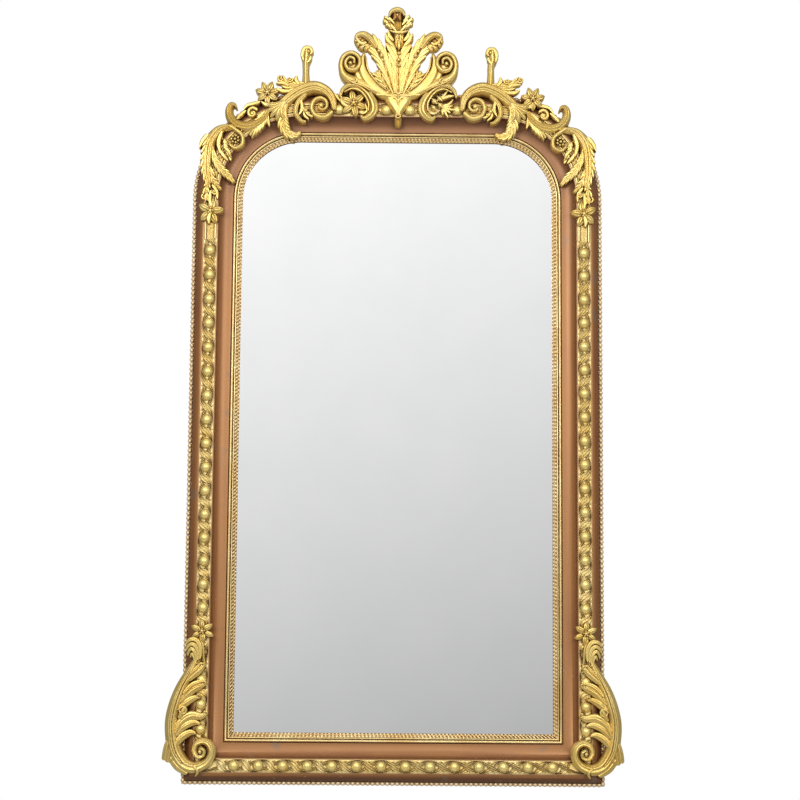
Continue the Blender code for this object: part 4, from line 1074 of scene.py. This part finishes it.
def shoulder_carving(half, upright_lean, flower_shift):
    """A C scroll with a volute, a bud, a flower and a curling leaf, lying along the shoulder."""
    half.stroke([(-13.5, -4, 2.6, 60), (-10.6, 8, 4.6, 62), (-3.5, 16, 5.8, 64), (8, 19.5, 6.6, 64),
                 (22, 15, 7.0, 62), (34, 6.5, 6.4, 60), (43, -2, 4.4, 58)], 5, 0.17)
    for number in range(5):
        near = around(41, 0, 6, -104 + 27 * number)
        tip = around(41, 0, 12.5, -104 + 27 * number)
        half.stroke([(36, 4, 2.0, 61), (*near, 2.9, 61), (*tip, 2.0, 57),
                     (tip[0] + 1.6, tip[1] - 1.6, 0.8, 54)], 2, 0.22, 6, 15, thickness=0.030)
    half.volute(0, 0, 12.6, 1.35, 205.0, 1.0, 2.6, 60)
    half.stroke([(15, 12, 2.2, 60), (23, 4, 2.6, 60), (25.5, -6, 2.4, 59), (20.5, -14, 2.0, 57),
                 (15, -15.5, 0.8, 54)], 2)
    half.fingers([(20, 6, 1.6, 58), (19, -3, 2.0, 58), (22, -9, 0.8, 56)])
    half.boss(15.5, -4.5, 2.4, 61, 14)
    half.boss(12, -7.5, 1.6, 59, 12)
    half.fingers(
        [(8, -10.5, 1.0, 56), (12.5, -8.5, 1.7, 58), (18, -2, 1.7, 60)],
        [(12, -13, 0.8, 55), (16, -10, 1.6, 57), (17.5, -6, 0.8, 58)])
    half.leaf([(34, 2, 3.0, 59), (38, -9, 4.6, 56), (37.6, -18, 5.2, 51), (33.4, -25.5, 4.3, 45),
               (26.2, -27.4, 2.8, 41), (20.5, -24.5, 0.9, 38)], 7, sweep=0.26)
    bud = 15.0 + upright_lean
    half.stroke([(15.5, 22, 4.2, 58), (15.8, 33, 3.3, 58), (16, 42, 3.4, 60), (bud + 0.4, 48, 4.6, 61),
                 (bud, 53, 5.2, 62), (bud, 57.0, 3.8, 62), (bud + 0.4, 59.2, 2.0, 61)], 2, 0.16)
    half.stroke([(bud + 3.0, 45, 1.0, 61), (bud + 4.4, 51.4, 1.9, 63), (bud + 2.0, 57.4, 2.2, 64),
                 (bud - 3.0, 57.8, 2.0, 64), (bud - 5.2, 54.0, 1.6, 63), (bud - 3.4, 51.0, 0.9, 62)],
                 1, 0.12, thickness=0.030)
    half.boss(bud - 1.8, 54.2, 1.8, 65, 14)
    half.fingers([(bud - 0.6, 43, 0.8, 60), (bud - 3.4, 46.4, 1.6, 62), (bud - 4.2, 49.6, 0.9, 62)])
    leaf_tip = 40.5 + flower_shift
    half.leaf([(17, 22, 2.6, 58), (26, 20, 4.4, 58), (34, 21.5, 4.6, 59), (leaf_tip, 27, 3, 60)],
               4, sweep=0.5)
    half.curl(leaf_tip + 0.5, 27.4, 3.3, 62, 200.0, 1.0)
    half.curl(31.6, 26.0, 3.0, 62, 160.0, 1.0)
    half.fingers(
        [(22, 21, 1.8, 59), (25.4, 26, 2.4, 61), (24.6, 30.0, 1.0, 60)],
        [(33, 20, 1.8, 59), (37.6, 22.6, 2.2, 61), (45.4, 22.6, 0.9, 59)],
        [(31, 15, 2, 57), (39, 15, 2.3, 58), (45, 18, 0.8, 56)])
    half.flower(54 + flower_shift, 13 - flower_shift, 11.8, 7, 62, 12.0, 0.27)
    half.fingers([(47, 3, 1.8, 56), (54, 1, 2.3, 57), (60, 4, 0.8, 56)])
    half.stroke([(53, -4, 3.0, 57), (58, -13, 4.4, 58), (69, -19.5, 5.2, 58), (81, -19.5, 5.2, 58),
                 (89.6, -13, 4.8, 60), (92.0, -5.4, 4.0, 61), (90.2, 0.2, 2.8, 62), (86.4, 0.6, 1.6, 61),
                 (84.4, -2.4, 0.8, 59)], 4, 0.17)
    half.leaf([(55, -6, 3.4, 56), (60, -15, 5.0, 55), (66, -22, 5.2, 53), (71, -29, 2.6, 47)], 5, sweep=0.5)
    half.fingers(
        [(54, -6, 2.2, 55), (53.5, -13, 2.5, 53), (51.5, -20, 0.8, 48)],
        [(64, -17, 2.2, 55), (75, -19, 2.4, 55), (80, -25.5, 0.8, 50)])
    half.boss(68.5, -8, 4.6, 52)
    half.curl(68.5, -7.4, 5.6, 59, 150.0, -1.0)
    half.fingers(
        [(61, 4, 1.6, 56), (67, 2, 2.2, 58), (74, 0, 1.8, 57), (78, -5, 0.7, 55)],
        [(75, -5, 1.4, 56), (80, -9, 2.0, 57), (84, -14, 1.4, 58)])


def corner_leaf_carving(half):
    """The acanthus that wraps round the top corner and hangs down to a flower."""
    half.stroke([(-17, 85, 1.8, 58), (-6.5, 80.5, 4.8, 60), (2, 69, 6.8, 62), (4.4, 55, 6.2, 62),
                 (4.6, 40, 5.0, 60), (2, 26, 3.4, 58)], 5, 0.18)
    half.leaf([(-1, 78, 1.6, 60), (4.6, 66, 3.6, 61), (7.0, 52, 3.6, 60), (6.0, 38, 3.4, 59),
               (2.5, 25, 2.4, 57)], 7, sides=(1,), flutes=2, sweep=0.2)
    half.fingers([(4, 76, 2.6, 58), (9, 70, 2.6, 57), (12.5, 62.5, 0.8, 52)])
    half.leaf([(-1, 64, 2.0, 60), (-3.4, 52, 2.8, 58), (-9, 42.5, 3.6, 54), (-16, 36.5, 3.2, 48),
               (-22.5, 29.5, 0.9, 43)], 6, sweep=0.3)
    half.leaf([(1, 44, 2.0, 58), (-1.2, 33, 2.8, 57), (-5.5, 26.5, 2.6, 54), (-9.5, 21.5, 0.9, 50)],
               4, sweep=0.35)
    half.stroke([(-17, 85, 1.8, 58), (-23.5, 80.8, 2.0, 58), (-30, 75, 2.0, 58), (-30, 66.5, 2.0, 58),
                 (-23, 62.5, 1.6, 58), (-17.5, 66.5, 1.2, 57)], 2, 0.12)
    for bead in range(7):
        half.boss(*around(-23, 71.5, 3.4, 360.0 / 7 * bead), 1.25, 58, 10)
    half.boss(-23, 71.5, 1.5, 59, 12)
    half.fingers([(-10, 79, 1.8, 58), (-6.5, 68, 2.4, 58), (-9, 57, 1.2, 55)])
    half.stroke([(-12.5, 72, 3.6, 49), (-14.5, 62, 4.2, 49), (-19, 51, 1.4, 46)])
    for row in range(5):
        for column in range(3):
            half.boss(-10.5 - 0.9 * row - 2.5 * column, 72 - 4.0 * row - 0.8 * column, 0.85, 51.5, 8)
    half.fingers(
        [(-12, 64, 1.4, 52), (-16.5, 60, 2.0, 54), (-18.5, 55, 0.8, 50)],
        [(-9, 60, 1.4, 54), (-12, 55, 2.0, 54), (-16.5, 50.5, 0.8, 50)])
    half.leaf([(2.5, 28, 2.4, 56), (4.6, 20, 3.4, 57), (2.6, 10, 2.6, 56)], 3, flutes=2, sweep=0.5)
    half.curl(6.2, 14, 3.0, 57, 60.0, -1.0)
    half.curl(-3.5, 19, 3.2, 57, 120.0, 1.0)
    half.fingers(
        [(-1, 26, 1.6, 56), (-5.5, 20, 1.9, 56), (-6.5, 12, 0.8, 54)],
        [(0, 20, 1.4, 57), (1, 12, 2.0, 58), (-0.5, 4, 1.0, 57)])
    half.flower(0, 0, 12.6, 5, 61, 28.0, 0.31)
    half.fingers([(0, -2, 1.6, 60), (1.6, -7.4, 2.5, 61), (1.0, -12.6, 1.0, 58)])


def foot_scroll_carving(half):
    """The long scroll that sweeps down over the lower corner and winds into a volute."""
    half.flower(0, 0, 11.8, 6, 58, 25.0, 0.27)
    half.stroke([(2, -6, 1.4, 55), (-1, -16, 1.5, 55), (-2, -27, 1.3, 54), (-4, -36, 0.8, 52)], 2)
    half.stroke([(4, -8, 1.3, 54), (1.5, -18, 1.5, 55), (2, -28, 1.2, 54)], 2)
    half.stroke([(4.5, -33, 3.0, 55), (4.0, -25, 4.0, 56), (6.4, -17, 4.6, 56), (10.0, -14, 3.0, 54)],
                 3, 0.26)
    drooping = (
        ((1.4, -28, 1.6, 58), (1.2, -17, 2.4, 60), (5.4, -9.2, 2.7, 61), (11.6, -8.8, 2.2, 60),
         (16.0, -13.0, 1.0, 57)),
        ((3.4, -29, 1.6, 58), (4.2, -19, 2.2, 60), (8.2, -13.4, 2.5, 61), (12.8, -14.4, 2.1, 59),
         (15.6, -19.4, 0.9, 56)),
        ((5.0, -30, 1.5, 58), (6.6, -21.6, 2.0, 60), (9.8, -17.8, 2.2, 60), (12.6, -20.0, 1.8, 58),
         (13.8, -24.8, 0.8, 55)),
        ((5.6, -32, 1.4, 57), (7.6, -25.4, 1.8, 58), (9.8, -23.0, 1.8, 58), (11.2, -26.8, 0.8, 55)))
    for lobe in drooping:
        half.stroke(lobe, 1, 0.22, 5, 15)
    half.stroke([(4.5, -27, 2.6, 56), (12.2, -42, 4.8, 58), (20.2, -58, 6.2, 60), (25.8, -74, 6.8, 62),
                 (29.0, -90, 6.8, 62), (28.2, -106, 7.0, 62), (24.8, -120, 7.2, 62), (16.6, -132, 7.0, 62),
                 (5.5, -135.6, 5.8, 62), (-6.0, -131.0, 5.0, 62), (-11.8, -121.5, 4.4, 62),
                 (-9.4, -112.6, 3.7, 62), (-2.8, -109.4, 3.3, 63), (3.6, -112.4, 2.9, 64),
                 (5.2, -118.8, 2.6, 65), (1.6, -124.2, 2.2, 66), (-3.6, -123.2, 1.9, 66),
                 (-4.6, -118.4, 1.6, 67), (-1.4, -116.0, 1.3, 67)], 3, 0.16)
    half.stroke([(11, -40, 0.6, 60), (20, -56, 1.0, 62), (26, -73, 1.2, 64), (29.2, -90, 1.2, 64),
                 (28.4, -106, 1.2, 64), (25, -120, 1.0, 64), (17, -132, 0.7, 63)], beads=34)
    half.boss(-0.8, -119.8, 1.9, 68, 14)
    half.stroke([(30, -106, 2.4, 57), (32.4, -114, 3.4, 59), (34.2, -122, 3.4, 58),
                 (36.0, -128.6, 2.2, 55)], 2, 0.24)
    half.stroke([(27, -106, 2.6, 57), (28.6, -115, 3.6, 59), (30.4, -123, 3.6, 58),
                 (32.4, -130.6, 2.4, 55)], 2, 0.24)
    half.stroke([(25.6, -116, 2.6, 57), (26.4, -125, 3.6, 58), (27.6, -132.4, 2.8, 55)], 2, 0.24)
    half.stroke([(29.5, -125, 3.6, 56), (22, -134.6, 4.4, 56), (12, -141.4, 3, 54)], 2, 0.15)
    half.fingers([(7, -133, 1.0, 62), (1.5, -138.5, 1.6, 64), (3.5, -144, 0.7, 60)])
    leaves = (
        ((14, -50, 2.2, 58), (6, -42.5, 3.2, 58), (-1, -36.5, 2.2, 57), (-3, -31, 0.8, 55)),
        ((12, -44, 1.8, 57), (4, -37, 2.2, 57), (0, -31, 1.0, 55)),
        ((20, -71, 2.6, 58), (11, -61, 3.8, 59), (2, -55.5, 3.0, 58), (-4, -54.5, 1.0, 55)),
        ((17, -63, 2.0, 58), (9, -54.5, 2.8, 58), (0, -50.5, 2.0, 57), (-5, -49, 0.8, 55)),
        ((22, -79, 2.4, 58), (14, -71, 3.2, 59), (6, -66.5, 2.4, 57), (1, -66.5, 0.8, 55)),
        ((25, -102, 2.6, 60), (19, -91, 4.0, 61), (9.5, -84.5, 4.2, 60), (-1, -85, 2.8, 57),
         (-7.5, -80, 0.9, 53)),
        ((24, -104, 2.2, 59), (16.5, -95.5, 3.0, 60), (7, -91, 2.8, 58), (0, -92.5, 0.9, 55)),
        ((25, -114, 2.6, 60), (18, -105.5, 3.4, 60), (10, -101, 2.8, 58), (4, -102, 0.9, 55)))
    for leaf in leaves:
        half.stroke([(x, z, 1.22 * half_width, crown) for x, z, half_width, crown in leaf], 2, 0.24, 6)
    for x, z, radius in ((-1.5, -34.5, 2.6), (-3, -52.5, 2.8), (2.2, -65.5, 2.2), (-5.2, -82.0, 2.5)):
        half.curl(x, z, radius, 59, 40.0, 1.0)
    half.stroke([(21.5, -87, 1.6, 60), (17.5, -80, 2.6, 62), (15, -74, 1.2, 59)], 2)
    half.ring(17.5, -79, 3.4, 1.0, 60)


def join_top_drawings(scroll, leaf):
    """The arm that ties the shoulder scroll to the corner leaf."""
    across, _, height = scroll.point(*ARM_ON_SCROLL, 0.0)
    start_x = (across * leaf.side - leaf.place[0]) / (leaf.part * leaf.squeeze)
    start_z = (height - leaf.place[1]) / leaf.part
    end_x, end_z = ARM_ON_LEAF
    middle = ((start_x + end_x) / 2, (start_z + end_z) / 2)
    leaf.stroke([(start_x, start_z, 3.6, 57), (*middle, 3.2, 57), (end_x, end_z, 2.8, 57)], 4)


def ornament_piece(name, node, drawings):
    """One carved piece made of its drawings."""
    builder = bmesh.new()
    for drawing in drawings:
        bmesh.ops.recalc_face_normals(drawing.builder, faces=drawing.builder.faces)
        builder.from_mesh(finish_mesh(drawing.builder))
    add_piece(name, finish_mesh(builder), "gilt", node, materials=(GILT, GILT_SHADE), smooth=65)


def build_ornaments():
    spread = TOP_SQUEEZE * BAND_LINE / NOMINAL_BAND_LINE
    crest_place = (0.0, FRAME_TOP - CREST_DROP)
    scroll_place = (BAND_LINE * SHOULDER_SHARE, FRAME_TOP - SHOULDER_DROP)
    leaf_place = (BAND_LINE, FRAME_TOP - LEAF_DROP)
    halves = [Drawing(crest_place, CREST_HEIGHT, CREST_GRID, side, spread) for side in (-1, 1)]
    crest_carving(*halves)
    ornament_piece("carved_crest", "crest", halves)
    sides = ((-1, "left", 0.0, 0.0), (1, "right", RIGHT_UPRIGHT_LEAN, RIGHT_FLOWER_SHIFT))
    for side, word, lean, shift in sides:
        scroll = Drawing(scroll_place, SHOULDER_HEIGHT, SHOULDER_GRID, side, spread)
        shoulder_carving(scroll, lean, shift)
        leaf = Drawing(leaf_place, LEAF_HEIGHT, LEAF_GRID, side, spread)
        corner_leaf_carving(leaf)
        join_top_drawings(scroll, leaf)
        ornament_piece("carved_shoulder_" + word, "shoulder_carving_" + word, [scroll, leaf])
        foot = Drawing((BAND_LINE, FOOT_LEVEL), FOOT_HEIGHT, FOOT_GRID, side)
        foot_scroll_carving(foot)
        ornament_piece("carved_foot_" + word, "foot_scroll_" + word, [foot])


# Stage, light and camera

FLOOR_HALF_SIZE = 6.0
FLOOR_DROP = 1.9
FLOOR_GREY = 0.70
LIGHT_TARGET = (0.0, 0.0, -0.8)
LIGHTS = (("key", (-1.55, -3.6, 0.35), 1.1, 71.0, (1.0, 0.985, 0.96)),
          ("fill", (1.65, -3.6, 0.05), 1.2, 54.0, (0.99, 0.99, 1.0)),
          ("top", (0.3, -2.0, 2.4), 0.8, 14.0, (1.0, 1.0, 1.0)))


def build_world():
    """White behind the mirror; in front of it a soft fall of light from above, which the glass shows."""
    world = bpy.data.worlds.new("studio")
    bpy.context.scene.world = world
    world.use_nodes = True
    sky = Nodes(world.node_tree)
    direction = sky.node("ShaderNodeTexCoord").outputs["Generated"]
    x, y, z = (sky.axis(direction, letter) for letter in "XYZ")
    rise = sky.remap(z, -0.085, 0.26, 0.50, 1.02)
    sideways = sky.remap(x, -0.12, 0.12, 0.06, -0.06)
    window = sky.combine("MULTIPLY", sky.within(z, -0.30, -0.12, 0.30, 0.50),
                         sky.within(x, -0.34, -0.16, 0.16, 0.34))
    lit = sky.combine("MULTIPLY", sky.combine("ADD", rise, sideways), window)
    outside = sky.remap(window, 0.0, 1.0, 1.0, 0.0)
    dim = sky.combine("MULTIPLY", sky.remap(z, -1.0, 1.0, 0.02, 0.40), outside)
    front = sky.combine("ADD", lit, dim)
    back = sky.combine("MULTIPLY", sky.within(x, -0.46, -0.28, 0.28, 0.46),
                       sky.within(z, -0.32, -0.15, 0.40, 0.56))
    back_light = sky.remap(back, 0.0, 1.0, 0.26, 1.0)
    behind = sky.remap(y, -0.02, 0.02, 0.0, 1.0)
    sky.link(sky.mix(behind, front, back_light), sky.tree.nodes["Background"].inputs["Color"])


def build_stage():
    """The pale floor far below and the lamps."""
    mesh = bpy.data.meshes.new("floor")
    corners = [(x * FLOOR_HALF_SIZE, y * FLOOR_HALF_SIZE) for x, y in ((-1, -1), (1, -1), (1, 1), (-1, 1))]
    mesh.from_pydata([(*corner, FRAME_BOTTOM - FLOOR_DROP) for corner in corners], [], [(0, 1, 2, 3)])
    ground = link_object("floor", mesh)
    shader = Shader("pale_floor", roughness=0.8)
    shader.surface.inputs["Base Color"].default_value = (FLOOR_GREY, FLOOR_GREY, FLOOR_GREY, 1.0)
    mesh.materials.append(shader.material)
    for name, place, size, power, colour in LIGHTS:
        data = bpy.data.lights.new(name, "AREA")
        data.size = size
        data.energy = power
        data.color = colour
        lamp = link_object(name, data)
        lamp.location = place
        lamp.rotation_euler = (Vector(LIGHT_TARGET) - Vector(place)).to_track_quat("-Z", "Y").to_euler()


def build_camera():
    data = bpy.data.cameras.new("camera")
    data.lens = CAMERA_LENS
    data.sensor_width = CAMERA_SENSOR
    camera = link_object("camera", data)
    turn = Matrix.Translation(CAMERA_PLACE)
    for angle, axis in ((-CAMERA_YAW, "Z"), (90 + CAMERA_PITCH, "X"), (CAMERA_ROLL, "Z")):
        turn = turn @ Matrix.Rotation(radians(angle), 4, axis)
    camera.matrix_world = turn
    bpy.context.scene.camera = camera


def dress_cad_nodes():
    """The plain sheets keep their solids and take their own materials."""
    for name, material in (("mirror_glass", mirror_material()), ("backboard", BOARD_WOOD)):
        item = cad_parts[name]
        item = bpy.data.objects[item] if isinstance(item, str) else item
        for slot in item.material_slots:
            slot.material = material


build_frame_body()
build_sight_edge()
build_edge_beading()
build_bands()
build_ornaments()
dress_cad_nodes()
build_world()
build_stage()
build_camera()
bpy.context.scene.view_settings.view_transform = "Standard"
